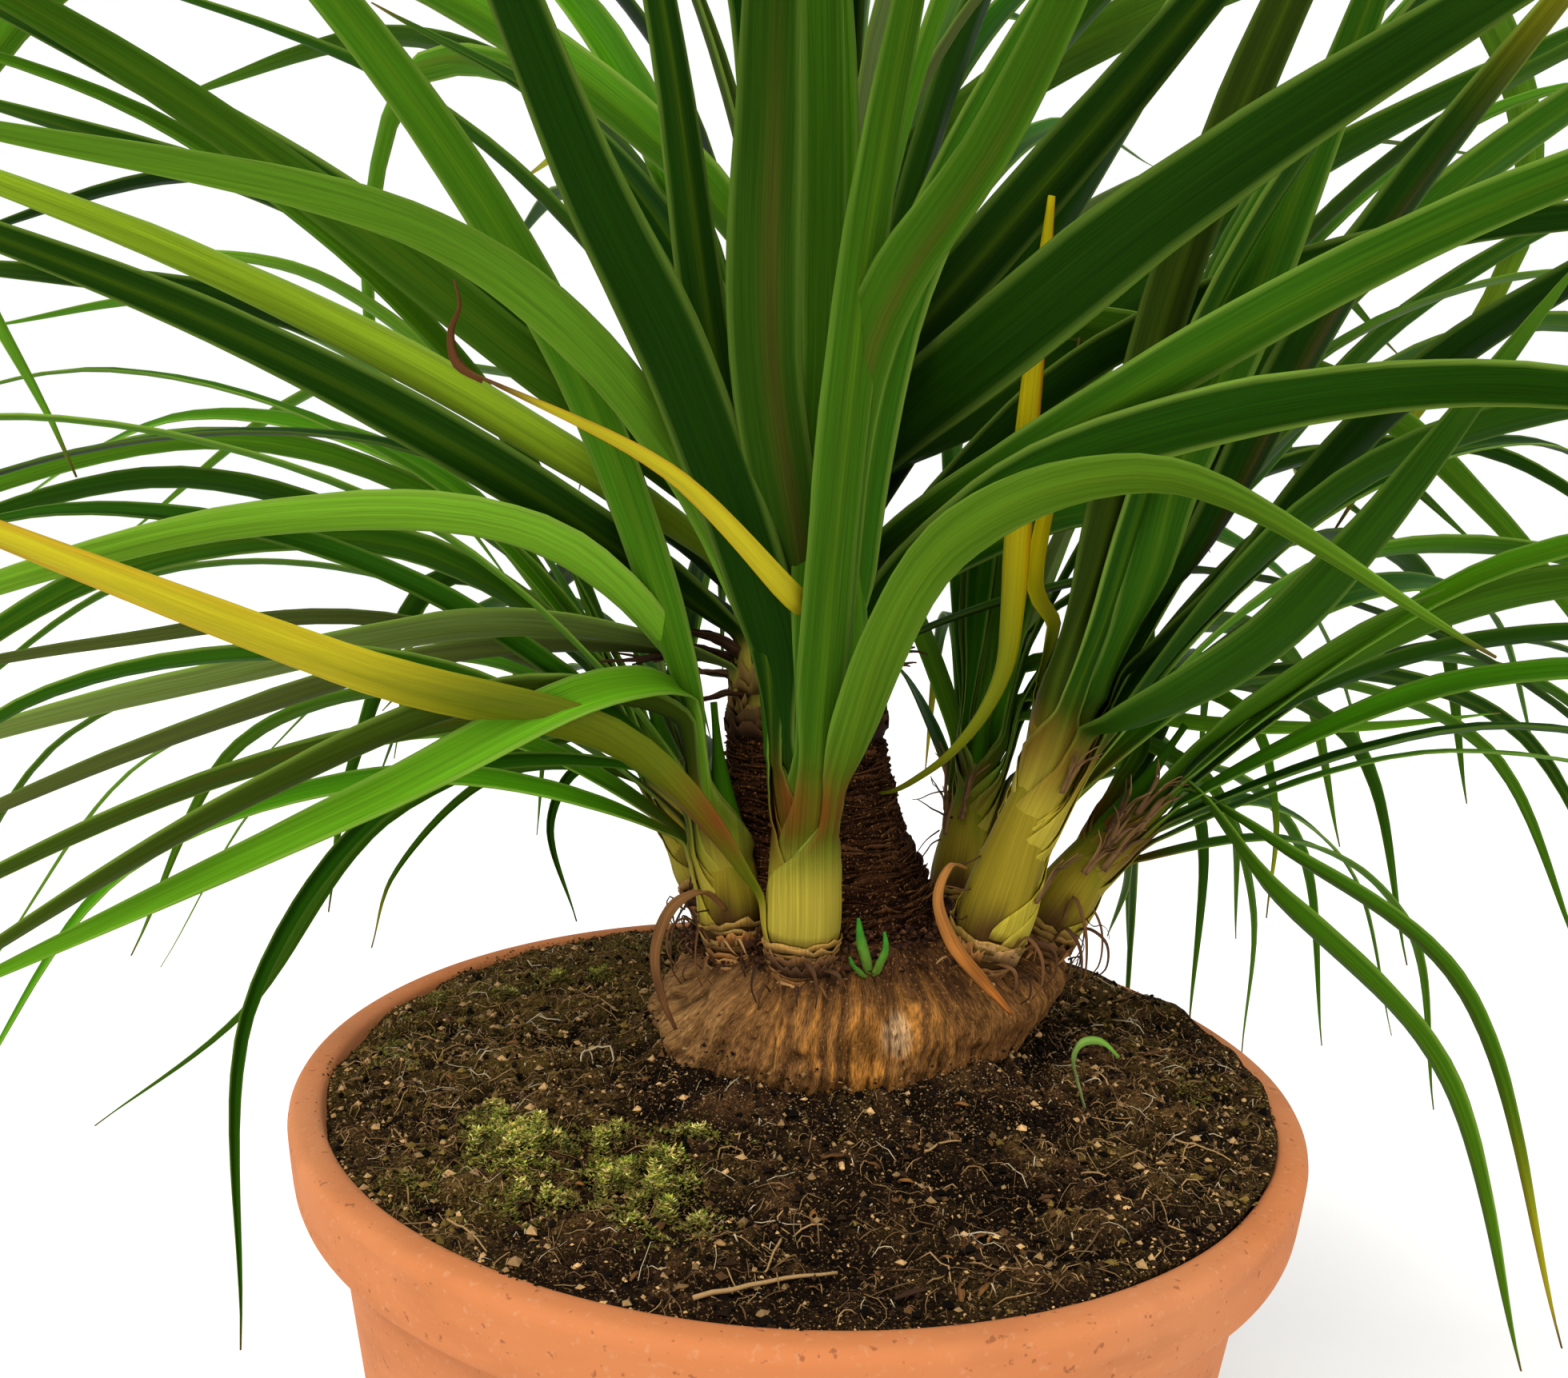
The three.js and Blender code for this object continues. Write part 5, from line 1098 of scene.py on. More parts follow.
def add_shreds(soup, random):
    """Torn shreds and dry tendrils of old sheath on the stems."""
    for name, height, azimuth, length, width in SHREDS:
        stem = STEMS[name]
        foot, axis = stem_frame(stem)[:2]
        out = direction(azimuth, 0)
        out = unit(out - axis * np.dot(out, axis))
        side = np.cross(axis, out)
        root = foot + axis * height + out * (bulb_radius(stem, height) + 1.2)
        for _ in range(SHRED_THREADS):
            fan = side * (random.rand() - 0.5) * 9
            rise = axis * length * (0.6 + 0.4 * random.rand())
            path = [root - axis * 6 - out, root + fan * 0.2, root + rise * 0.6 + out * 1.6 + fan * 0.6,
                    root + rise + out * (2 + 5 * random.rand()) + fan * (1 + random.rand())]
            widths = [width * 0.9, width * (0.3 + 0.4 * random.rand()), width * 0.3, 0.15]
            twist = 3 * (random.rand() - 0.5)
            tone = mix(DRIED_TONES[3], DRIED_TONES[2], random.rand()) * (0.5 + 0.5 * random.rand())
            add_ribbon(soup, path, widths, tone, samples=12, twist=twist, facing=side, cup=0.3,
                       rough=(0.4, 2.0, 137))
    for name, height, azimuth in TENDRILS:
        stem = STEMS[name]
        foot, axis = stem_frame(stem)[:2]
        out = direction(azimuth, 0)
        side = np.cross(axis, out)
        place = foot + axis * height + out * (bulb_radius(stem, height) - 1)
        heading, path = out + axis * (random.rand() - 0.2), [place]
        for _ in range(TENDRIL_STEPS):
            wander = side * (random.rand() - 0.5) * 1.8
            heading = unit(heading + wander + axis * (random.rand() - 0.65) * 1.6)
            place = place + heading * (2 + 2.5 * random.rand())
            path.append(place)
        thin = (0.2 + 0.25 * random.rand()) * np.linspace(1, 0.4, TENDRIL_SAMPLES + 1)
        add_tube(soup, curve_through(path, TENDRIL_SAMPLES), thin, DRIED_TONES[random.choice([1, 2, 4])], 4)


def add_yellow_right(soup):
    """The yellow leaf beside the right stem: it comes from behind the trunk and rises among the leaves."""
    samples, columns = 56, 7
    s = np.linspace(0, 1, samples + 1)[:, None, None]
    u = np.linspace(-1, 1, columns)[None, :, None]
    tone = mix(YELLOW_GREEN * 0.85, YELLOW, smooth(0.3, 0.62, s + 0.06 * u))
    tone = mix(tone, YELLOW_ORANGE * 0.8, smooth(0.3, 1, u) * smooth(0.36, 0.6, s))
    add_ribbon(soup, YELLOW_RIGHT_PATH, YELLOW_RIGHT_WIDTHS, tone, samples, twist=0.3, facing=(1, 0.2, 0),
               cup=0.14, thickness=0.6, columns=columns)


def add_crown_foot(soup, random):
    """Dark torn sheaths where the crown stands on the trunk, and stubs of dead leaves."""
    stem = STEMS["crown"]
    foot, axis = stem_frame(stem)[:2]
    for i in range(CROWN_COLLARS):
        tone = mix(TRUNK_RED, mix(TRUNK_TAN, SHEATH_CROWN, 0.35), i / (CROWN_COLLARS - 1))
        tone = tone * (0.7 + 0.5 * random.rand())
        start = 360 * random.rand()
        radius = stem_radius(stem, 0) * (1.04 - 0.008 * i)
        tall = 4 + 3 * random.rand()
        turn = (start, start + 150 + 120 * random.rand())
        add_collar(soup, stem, -4 + 1.5 * i, radius, tall, tone, random, 0.9, 1.5, turn)
    for azimuth, rise, length, width in DEAD_STUBS:
        out = direction(azimuth, rise)
        side = unit(np.cross(UP, out))
        start = foot + axis * (8 + 14 * random.rand()) + direction(azimuth, 0) * 19
        for _ in range(STUB_LAYERS):
            fan = side * (random.rand() - 0.5) * 12
            path = [start, start + out * length * 0.35 + UP * 2, start + out * length * 0.7 + fan * 0.5,
                    start + out * length * (0.85 + 0.3 * random.rand()) + fan - UP * 3 * random.rand()]
            twist = 1.6 * (random.rand() - 0.5)
            tone = mix(DRIED_TONES[2], DRIED_TONES[4], random.rand()) * (0.6 + 0.5 * random.rand())
            widths = [width * 0.9, width * 0.8, width * 0.4, 0.5]
            add_ribbon(soup, path, widths, tone, samples=14, twist=twist, facing=side, cup=0.3,
                       thickness=0.4, rough=(0.5, 3.0, 131))


# Wood
BARK_DARK = srgb(46, 28, 16)
BARK_BROWN = srgb(100, 66, 34)
BARK_TAN = srgb(160, 112, 58)
BARK_ORANGE = srgb(182, 118, 44)
BARK_GREY = srgb(156, 118, 74)
BARK_PALE = srgb(200, 164, 120)
TRUNK_DARK = srgb(26, 14, 8)
TRUNK_RED = srgb(58, 32, 17)
TRUNK_TAN = srgb(104, 68, 38)
BARK_RADIUS = 58
CAUDEX_SIDES = 340
CAUDEX_ROWS = 80
TRUNK_SIDES = 100
TRUNK_ROWS = 80
# The bulb's radius by height, down its left side and down its front
LEFT_PROFILE = [(196, 48), (228, 56), (241, 61), (252, 56), (263, 48), (270, 42), (274, 37)]
FRONT_PROFILE = [(196, 44), (226, 48), (234, 52), (244, 57), (254, 56), (262, 52), (270, 43), (274, 38)]
TRUNK_SCALES = 760
RING_SPACING = 2.7
DEBRIS_FIBRES = 420
SKIN_CRUMBS = 2600


def fine_caudex_radius(z, azimuth):
    """The bulb's radius, with the slope of its left shoulder and the tuck of its front foot."""
    radius = caudex_radius(z, azimuth)
    radius = mix(radius, profile_radius(LEFT_PROFILE, z), 0.9 * near_side(azimuth, 190, 62))
    return mix(radius, profile_radius(FRONT_PROFILE, z) * 0.96, 0.7 * near_side(azimuth, 275, 48))


def caudex_piece():
    """The bulb's fibrous, fissured bark, crumbling where the trunk and the stems stand on it."""
    soup = Soup()
    azimuth = 360 * np.arange(CAUDEX_SIDES) / CAUDEX_SIDES
    z = np.concatenate([[196], np.linspace(208, 275, CAUDEX_ROWS - 1)])
    turn, height = np.radians(azimuth)[None, :], z[:, None]
    base = fine_caudex_radius(height, azimuth[None, :])

    def on_bark(across_mm, along_mm, lean=0.0, warp=0.0):
        sheared = turn + (lean + warp) / BARK_RADIUS
        return field(np.cos(sheared) * BARK_RADIUS / across_mm, np.sin(sheared) * BARK_RADIUS / across_mm,
                     height / along_mm)

    left = near_side(azimuth, 198, 42)[None, :]
    warp = 3 * noise(on_bark(9, 11), 3)
    lean = -1.3 * left * (height - 238)
    fibres = layered_noise(on_bark(1.9, 22, lean, warp), 2, 11)
    ridges = layered_noise(on_bark(6, 30, lean, warp), 3, 13)
    crack = 1 - smooth(0.0, 0.09, np.abs(noise(on_bark(7, 34, lean, warp), 29)))
    fissure = 1 - smooth(0.0, 0.16, np.abs(noise(on_bark(3.2, 46, lean, 0.6 * warp), 33)))
    wrinkle = noise(on_bark(3.6, 16, lean, warp), 37)
    lumps = layered_noise(on_bark(20, 15), 3, 41)
    crumple = layered_noise(on_bark(5, 4), 2, 47)
    shown = smooth(200, 226, height)
    radius = base + shown * (0.4 * fibres + 0.6 * ridges - 1.4 * crack + 1.5 * lumps + 0.5 * crumple)
    radius = radius + shown * (0.9 * left * wrinkle - 0.7 * (1 - 0.6 * left) * fissure)
    rim = smooth(258, 272, height)
    radius = radius + rim * (1.6 * crumple + 1.2 * noise(on_bark(9, 6), 51))
    front = near_side(azimuth, 272, 34)[None, :, None]
    streak = smooth(-0.7, 0.9, fibres + 0.5 * ridges)[..., None]
    patchy = smooth(-0.5, 0.6, layered_noise(on_bark(13, 16), 3, 57))[..., None]
    tone = mix(BARK_BROWN, BARK_TAN, streak * (0.45 + 0.4 * patchy))
    tone = mix(tone, BARK_ORANGE, 0.75 * front * smooth(0.1, 0.9, streak) * patchy)
    tone = mix(tone, BARK_GREY * 1.15, 0.75 * left[..., None] * (0.25 + 0.75 * streak))
    patch = near_side(azimuth, 286, 4.5)[None, :] * bell(height, 255, 6)
    tone = mix(tone, BARK_PALE, 0.65 * smooth(0.3, 0.75, patch + 0.3 * fibres)[..., None])
    # Darker towards the bulb's foot, near the soil
    low_darkening = 1 - smooth(229, 240, height + 5 * noise(on_bark(8, 8), 61) + 2 * fibres)
    tone = mix(tone, BARK_DARK, 0.7 * low_darkening[..., None])
    tone = mix(tone, BARK_DARK, 0.85 * smooth(257, 269, height + 4 * crumple + 2 * ridges)[..., None])
    # Painted shade in the cracks and fissures: the tone darkens where they sink in
    tone = tone * (1 - 0.6 * crack[..., None]) * (1 - 0.4 * fissure[..., None])
    tone = tone * (1.12 + 0.3 * crumple[..., None])
    strand = field(turn * BARK_RADIUS + (lean + warp), height, 0.0)
    add_rings(soup, field(*polar(radius, turn, CAUDEX_CENTRE), height), tone, strand)
    return soup


def fine_trunk_radius(z, azimuth):
    """The trunk's radius, with the wider foot that it has towards the right."""
    return trunk_radius(z) - 1.4 + near_side(azimuth, 340, 70) * 9 * (1 - smooth(264, 312, z)) ** 1.4


def add_trunk(soup):
    """Close uneven rings of old leaf scars, with thin torn scales standing off them."""
    turn = circle(TRUNK_SIDES)[None, :]
    z = np.linspace(262, TRUNK_TOP_Z - 0.2, TRUNK_ROWS)[:, None]

    def on_trunk(across, along):
        return field(across * np.cos(turn), across * np.sin(turn), z / along)

    wave = noise(on_trunk(2, 14), 61)
    step = (z + 2.2 * wave + 1.8 * np.cos(turn - 0.6)) / RING_SPACING % 1
    rough = layered_noise(on_trunk(12, 2.2), 2, 67)
    radius = fine_trunk_radius(z, np.degrees(turn)) + 0.9 * step + 0.7 * rough
    tone = mix(TRUNK_DARK, TRUNK_RED, (smooth(0.2, 1, step) * smooth(-0.9, 0.8, rough))[..., None])
    add_rings(soup, field(*polar(radius, turn, trunk_centre(z)), z), tone, field(turn * 30, z, 9.0))
    random = draws("trunk_scales")
    columns = np.linspace(-1, 1, 6)
    for i in range(TRUNK_SCALES):
        z0 = 266 + (TRUNK_TOP_Z - 270) * ((i * 0.618034) % 1)
        angle = 2 * np.pi * ((i * 0.5230) % 1) + 0.3 * random.rand()
        foot_radius = fine_trunk_radius(z0, math.degrees(angle))
        width, tall = 8 + 16 * random.rand(), 1.2 + 2.2 * random.rand() ** 2
        slope = 0.3 * (random.rand() - 0.5)
        angles = angle + columns * width / 2 / foot_radius
        stand = 0.7 + 1.5 * random.rand() ** 2
        rows = []
        for part in BAND:
            out = foot_radius - 0.3 + stand * part + 0.5 * part * (random.rand(6) - 0.5)
            bow = tall * part * (1 - 0.5 * columns ** 2) + slope * columns * width / 2
            jag = 1.2 * part * (random.rand(6) - 0.5)
            rows.append(field(*polar(out, angles, trunk_centre(z0)), z0 + bow + jag))
        low = TRUNK_DARK * (0.5 + 0.5 * random.rand())
        high = mix(TRUNK_RED, TRUNK_TAN, random.rand() ** 2) * (0.5 + 0.7 * random.rand())
        strand = field(angles[None] * 30, BAND[:, None] * tall, i * 1.0)
        add_shell(soup, np.array(rows), 0.3, mix(low, high, BAND[:, None, None]), strand)


def add_debris(soup, random):
    """Dry fibres and crumbs lying on the bulb's shoulders among the stems."""
    for _ in range(DEBRIS_FIBRES):
        turn = 2 * np.pi * random.rand()
        reach = 24 + 22 * random.rand()
        height = 272.5 - 0.028 * max(0, reach - 26) ** 2 + 1.5 * random.rand()
        middle = np.array([*polar(reach, turn, CAUDEX_CENTRE), height])
        heading = 2 * np.pi * random.rand()
        along = np.array([math.cos(heading), math.sin(heading), 0.5 * (random.rand() - 0.5)])
        along = along * (2 + 6 * random.rand())
        bow = UP * 1.5 * random.rand()
        path = [middle - along / 2, middle + bow, middle + along / 2 + 0.5 * bow]
        tone = any_dried_tone(random, 0.35, 0.6)
        add_tube(soup, curve_through(path, 5), 0.18 + 0.35 * random.rand() ** 2, tone, 3)
    # Dark crumbling skin heaped against the trunk's foot
    turn = 2 * np.pi * random.rand(SKIN_CRUMBS)
    spread = random.rand(SKIN_CRUMBS) ** 1.5
    reach = fine_trunk_radius(270, np.degrees(turn)) - 1 + 11 * spread
    x, y = polar(reach, turn, np.array(trunk_centre(270)) - CAUDEX_CENTRE)
    height = 275.5 - 3 * spread - 0.02 * np.maximum(0, np.hypot(x, y) - 30) ** 2
    height = height + 4.5 * (1 - spread) * random.rand(SKIN_CRUMBS)
    tones = np.where(random.rand(SKIN_CRUMBS, 1) < 0.2, TRUNK_TAN, TRUNK_RED)
    tones = tones * (0.35 + 0.9 * random.rand(SKIN_CRUMBS, 1))
    centres = field(x + CAUDEX_CENTRE[0], y + CAUDEX_CENTRE[1], height)
    add_lumps(soup, centres, 0.4 + 1.3 * random.rand(SKIN_CRUMBS) ** 2, tones, random)


# Soil, with crumbs, roots, straw and moss on it
SOIL_SIDES = 360
SOIL_REACHES = (54, 8)
SOIL_BLACK = srgb(16, 10, 6)
SOIL_DARK = srgb(38, 25, 14)
SOIL_BROWN = srgb(84, 58, 34)
SOIL_OLIVE = srgb(104, 84, 38)
SOIL_TAN = srgb(164, 130, 86)
SOIL_PALE = srgb(206, 188, 154)
# Brown of the moss's low leaflets, which also serves as painted shade in the gaps between tufts
MOSS_LOW_AND_SHADE = srgb(74, 60, 24)
MOSS_TONES = np.array([srgb(178, 170, 70), srgb(140, 150, 48), srgb(96, 122, 32), srgb(214, 204, 120),
                       srgb(184, 152, 84)])
# Middle, spread across and deep, and strength of each mossy place
MOSS_PATCHES = [
    (-73, -71, 15, 13, 1.0), (-64, -94, 10, 9, 1.0), (-84, -56, 9, 8, 0.8), (-38, -86, 14, 14, 1.0),
    (-30, -103, 11, 9, 0.9), (-50, -68, 10, 9, 0.8), (-25, -62, 11, 8, 0.7), (-82, 58, 16, 9, 0.75),
    (-104, 44, 12, 14, 0.5), (-122, 30, 12, 22, 0.5), (-124, -8, 12, 22, 0.4), (-60, 96, 22, 13, 0.45),
    (92, 78, 18, 14, 0.4), (24, 118, 24, 10, 0.45), (118, -20, 12, 20, 0.3), (-92, -88, 12, 10, 0.45),
]
MOSS_DENSITY = 32
MOSS_LEAFLET = np.array([[0, 0, 0], [1, 0.5, 0.35], [1, -0.5, 0.35], [2.0, 0, 1.1]], float)
MOSS_FACES = np.array([[0, 1, 3], [1, 2, 3], [2, 0, 3]])
# Both ends and the radius of each straw
STRAWS = [([-20, -132], [11, -119], 0.6), ([-2, -107], [-5, -122], 0.35), ([-81, -104], [-68, -118], 0.3),
          ([34, -72], [44, -66], 0.35), ([60, 80], [92, 62], 0.5), ([-40, 108], [-16, 122], 0.5),
          ([104, -52], [116, -62], 0.3), ([-60, 20], [-74, 34], 0.3)]
CHIP_PLACES = np.array([[27, -127], [113, 5]])
EDGE_REACH = 141.4
BIG_CRUMB = 0.75
SOIL_CRUMBS = 16500
RIM_GRIT = 2600
PALE_GRIT = 900
CLINGING_CRUMBS = 1500
SOIL_ROOTS = 6800
BARK_CHIPS = 170


def caudex_distance(x, y):
    return np.hypot(x - CAUDEX_CENTRE[0], y - CAUDEX_CENTRE[1])


def soil_top(x, y):
    lean = 228.8 + 0.02 * x + 0.012 * y
    heap = 10 * np.exp(-((x - 13) ** 2 + (y - 8) ** 2) / 90 ** 2)
    lumps = 0.9 * np.sin(x * 0.11 + 0.4) * np.cos(y * 0.13) + 0.6 * np.sin(x * 0.05 - y * 0.09)
    return lean + heap + lumps


def soil_bank(x, y):
    """How far the soil is banked up round the caudex, most of all at its right."""
    turn = np.arctan2(y - CAUDEX_CENTRE[1], x - CAUDEX_CENTRE[0])
    tall = 3 + 6 * np.maximum(0, np.cos(turn + 0.35)) ** 3 + 2 * np.maximum(0, -np.cos(turn)) ** 3
    return tall * bell(caudex_distance(x, y), 52, 11)


def flat_noise(x, y, cell, octaves, seed):
    return layered_noise(field(x / cell, y / cell, 0), octaves, seed)


def soil_surface(x, y):
    x, y = np.asarray(x, float), np.asarray(y, float)
    edge = 1 - smooth(126, 140, np.hypot(x, y))
    relief = 1.6 * flat_noise(x, y, 12, 2, 71) + 1.2 * flat_noise(x, y, 4.5, 2, 75)
    relief = relief + 0.7 * flat_noise(x, y, 1.8, 2, 73)
    return soil_top(x, y) + soil_bank(x, y) + relief * (0.3 + 0.7 * edge)


def mossiness(x, y):
    """How far the ground at each place is old moss and thatch instead of bare compost, from 0 to 1."""
    back_left = smooth(10, 70, -x + 0.6 * y) * smooth(-70, -10, y)
    front_left = 0.6 * smooth(40, 90, -x) * smooth(30, 100, -y)
    right = 0.45 * smooth(70, 120, x)
    return np.clip(back_left + front_left + right + 0.35 * flat_noise(x, y, 16, 2, 77), 0, 1)


def soil_piece():
    soup = Soup()
    turn = circle(SOIL_SIDES)
    rows = []
    for z in (FLOOR + 1, FLOOR + 7, 197, 222):
        radius = profile_radius([*INNER_WALL, (POT_HEIGHT - 3, RIM_INNER_RADIUS)], z) - 1
        rows.append(field(*polar(radius, turn), z))
    uneven = 0.7 * circle_noise(turn, 9, 0, 81)
    near, far = np.linspace(61, 2, SOIL_REACHES[1]), np.linspace(EDGE_REACH, 64, SOIL_REACHES[0])
    for radius in np.concatenate([far, near]):
        x, y = polar(radius + uneven * smooth(130, 141, radius), turn)
        rows.append(field(x, y, soil_surface(x, y)))
    rings = np.array(rows)
    x, y, z = rings[..., 0], rings[..., 1], rings[..., 2]
    relief = z - soil_top(x, y) - soil_bank(x, y)
    # Painted shade and light on the soil: near-black in the hollows, brown on the raised ground
    tone = mix(SOIL_BLACK, SOIL_DARK, smooth(-2.5, 1.5, relief)[..., None])
    tone = mix(tone, SOIL_BROWN, smooth(0.3, 2.6, relief)[..., None])
    tone = mix(tone, SOIL_OLIVE, 0.75 * (mossiness(x, y) * smooth(-2, 2, relief))[..., None])
    add_rings(soup, rings, tone, rings)
    return soup


def add_lumps(soup, centres, sizes, tones, random):
    """Crumbs, each squashed and turned its own way. The small ones are open where they touch the ground."""
    big = sizes > BIG_CRUMB
    whole = np.array([[1, 0, 0], [-1, 0, 0], [0, 1, 0], [0, -1, 0], [0, 0, 1], [0, 0, -1]], float)
    faces = np.array([[0, 2, 4], [2, 1, 4], [1, 3, 4], [3, 0, 4], [2, 0, 5], [1, 2, 5], [3, 1, 5], [0, 3, 5]])
    low = whole[:5] - UP * 0.6 + UP * 0.1
    add_shapes(soup, whole, faces, centres[big], sizes[big], tones[big], random)
    add_shapes(soup, low, faces[:4], centres[~big], sizes[~big], tones[~big], random)


def turned(points, turn):
    """The x and y of points, each row of them turned about the vertical by its own angle."""
    c, s = np.cos(turn)[:, None], np.sin(turn)[:, None]
    x, y = points[..., 0], points[..., 1]
    return x * c - y * s, x * s + y * c


def add_copies(soup, points, faces, tones):
    """Small shapes with the same faces, each in its own tone."""
    count, size = points.shape[:2]
    index = faces[None] + size * np.arange(count)[:, None, None]
    soup.add(points.reshape(-1, 3), index.reshape(-1, 3), np.repeat(tones, size, axis=0))


def add_shapes(soup, shape, faces, centres, sizes, tones, random):
    count, points = len(centres), len(shape)
    jitter = shape[None] * (0.55 + 0.75 * random.rand(count, points, 1))
    jitter = jitter + 0.35 * (random.rand(count, points, 3) - 0.5)
    x, y = turned(jitter, random.rand(count) * 2 * np.pi)
    lumps = field(x, y, jitter[..., 2] * 0.8) * sizes[:, None, None] + centres[:, None]
    add_copies(soup, lumps, faces, tones)


def on_soil(random, count, reach=139.5, clear=50):
    radius = reach * np.sqrt(random.rand(count))
    x, y = polar(radius, 2 * np.pi * random.rand(count))
    away = caudex_distance(x, y) > clear
    return x[away], y[away]


def crumb_tones(x, y, random):
    choice = random.rand(len(x), 1)
    tones = np.where(choice < 0.42, SOIL_BLACK, np.where(choice < 0.7, SOIL_DARK, SOIL_BROWN))
    tones = np.where(choice > 0.84, SOIL_TAN * 1.2, tones)
    swapped = random.rand(len(x), 1) < 0.6 * mossiness(x, y)[:, None]
    thatch = np.where(random.rand(len(x), 1) < 0.3, SOIL_TAN, SOIL_OLIVE)
    return np.where(swapped, thatch, tones) * (0.4 + 1.3 * random.rand(len(x), 1))


def crumbs_piece():
    random = draws("crumbs")
    soup = Soup()
    x, y = on_soil(random, SOIL_CRUMBS)
    sizes = 0.25 + 0.45 * random.rand(len(x)) + 1.2 * random.rand(len(x)) ** 6
    centres = field(x, y, soil_surface(x, y) + 0.35 * sizes)
    add_lumps(soup, centres, sizes, crumb_tones(x, y, random), random)
    # Grit along the rim and spilt over its edge
    turn = 2 * np.pi * random.rand(RIM_GRIT)
    spill = np.clip(circle_noise(turn, 5, 0, 83) + 0.35, 0, 1)
    radius = 138.5 + 2.6 * random.rand(RIM_GRIT) + 3.4 * spill * random.rand(RIM_GRIT) ** 2
    x, y = polar(radius, turn)
    sizes = 0.2 + 0.55 * random.rand(RIM_GRIT) ** 2
    height = mix(soil_surface(x, y), POT_HEIGHT - 0.1, smooth(140.4, 142.4, radius)) + 0.3 * sizes
    add_lumps(soup, field(x, y, height), sizes, crumb_tones(x, y, random), random)
    # Pale grit at the bulb's front foot
    turn = np.radians(270 + 60 * random.randn(PALE_GRIT))
    x, y = polar(52 + 24 * random.rand(PALE_GRIT) ** 1.2, turn, CAUDEX_CENTRE)
    sizes = 0.18 + 0.3 * random.rand(PALE_GRIT)
    pale = np.where(random.rand(PALE_GRIT, 1) < 0.3, SOIL_PALE, SOIL_TAN)
    pale = pale * (0.45 + 0.5 * random.rand(PALE_GRIT, 1))
    add_lumps(soup, field(x, y, soil_surface(x, y) + 0.5), sizes, pale, random)
    # Earth clinging to the bulb's lower skin
    azimuth = 360 * random.rand(CLINGING_CRUMBS)
    z = 229 + 17 * random.rand(CLINGING_CRUMBS) ** 1.9
    x, y = polar(fine_caudex_radius(z, azimuth) + 0.5, np.radians(azimuth), CAUDEX_CENTRE)
    sizes = 0.25 + 0.7 * random.rand(CLINGING_CRUMBS) ** 2
    tones = np.where(random.rand(CLINGING_CRUMBS, 1) < 0.3, SOIL_TAN * 0.8, SOIL_DARK)
    tones = tones * (0.5 + 0.8 * random.rand(CLINGING_CRUMBS, 1))
    add_lumps(soup, field(x, y, z), sizes, tones, random)
    return soup


def fibres_piece():
    """Fine roots and straw, lying over the soil."""
    random = draws("fibres")
    soup = Soup()
    x, y = on_soil(random, SOIL_ROOTS, reach=138, clear=56)
    density = 0.3 + 0.7 * np.clip(mossiness(x, y) + 0.5 * smooth(60, 120, np.hypot(x, y)), 0, 1)
    keep = random.rand(len(x)) < density
    for x0, y0 in zip(x[keep], y[keep]):
        heading = 2 * np.pi * random.rand()
        length = 1.6 + 12 * random.rand() ** 3
        bend = 0.8 * random.randn()
        s = np.linspace(-0.5, 0.5, 5 if length > 5 else 3)
        px, py = polar(length * s, heading + bend * s, (x0, y0))
        if np.hypot(px, py).max() > 140:
            continue
        height = soil_surface(px, py) + 0.3 + 1.4 * random.rand() * (1 - (2 * s) ** 2)
        height = height - 0.4 * (np.abs(s) > 0.4)
        tone = mix(SOIL_BROWN, SOIL_TAN, random.rand()) * (0.5 + 1.2 * random.rand())
        if random.rand() < 0.08:
            tone = SOIL_PALE
        add_tube(soup, field(px, py, height), 0.1 + 0.17 * random.rand() ** 2, tone, 3)
    for start, end, radius in STRAWS:
        t = np.linspace(0, 1, 9)
        px, py = mix(start[0], end[0], t), mix(start[1], end[1], t) + 1.5 * np.sin(3 * t)
        height = soil_surface(px, py) + radius + 0.4
        height = mix(height, height.max(), 0.6)
        add_tube(soup, field(px, py, height), radius * (1 - 0.4 * t), SOIL_TAN * 1.1, 6)
    loop = np.radians(np.linspace(200, -20, 14))
    px, py = -61 + 5 * np.cos(loop), -14 + 4 * np.sin(loop)
    height = soil_surface(px, py) + 0.4 + 2.2 * np.sin(np.linspace(0, np.pi, 14))
    add_tube(soup, field(px, py, height), 0.3, SOIL_PALE, 5)
    return soup


def chips_piece():
    """Flat bits of bark and dead leaf on the soil: many small ones, and a longer one at each set place."""
    random = draws("chips")
    soup = Soup()
    places = np.concatenate([field(*on_soil(random, BARK_CHIPS, reach=134, clear=60)), CHIP_PLACES])
    for i, (x0, y0) in enumerate(places):
        chosen = i >= len(places) - len(CHIP_PLACES)
        length = 9 if chosen else 1.5 + 3.5 * random.rand()
        heading = 0.5 if chosen else 2 * np.pi * random.rand()
        ends = np.array([np.cos(heading), np.sin(heading), 0]) * length / 2
        middle = np.array([x0, y0, soil_surface(x0, y0) + 0.9])
        tilt = UP * 1.6 * (random.rand() - 0.5)
        path = [middle - ends - tilt, middle - ends * 0.3 + UP * 0.4, middle + ends * 0.4 + UP * 0.4,
                middle + ends + tilt]
        width = length * (0.15 + 0.3 * random.rand())
        widths = [width * 0.5, width, width * 0.9, width * 0.3]
        tone = any_dried_tone(random, 0.4, 0.6)
        add_ribbon(soup, path, widths, tone, 6, 0.4, (-ends[1], ends[0], 0), thickness=0.4)
    return soup


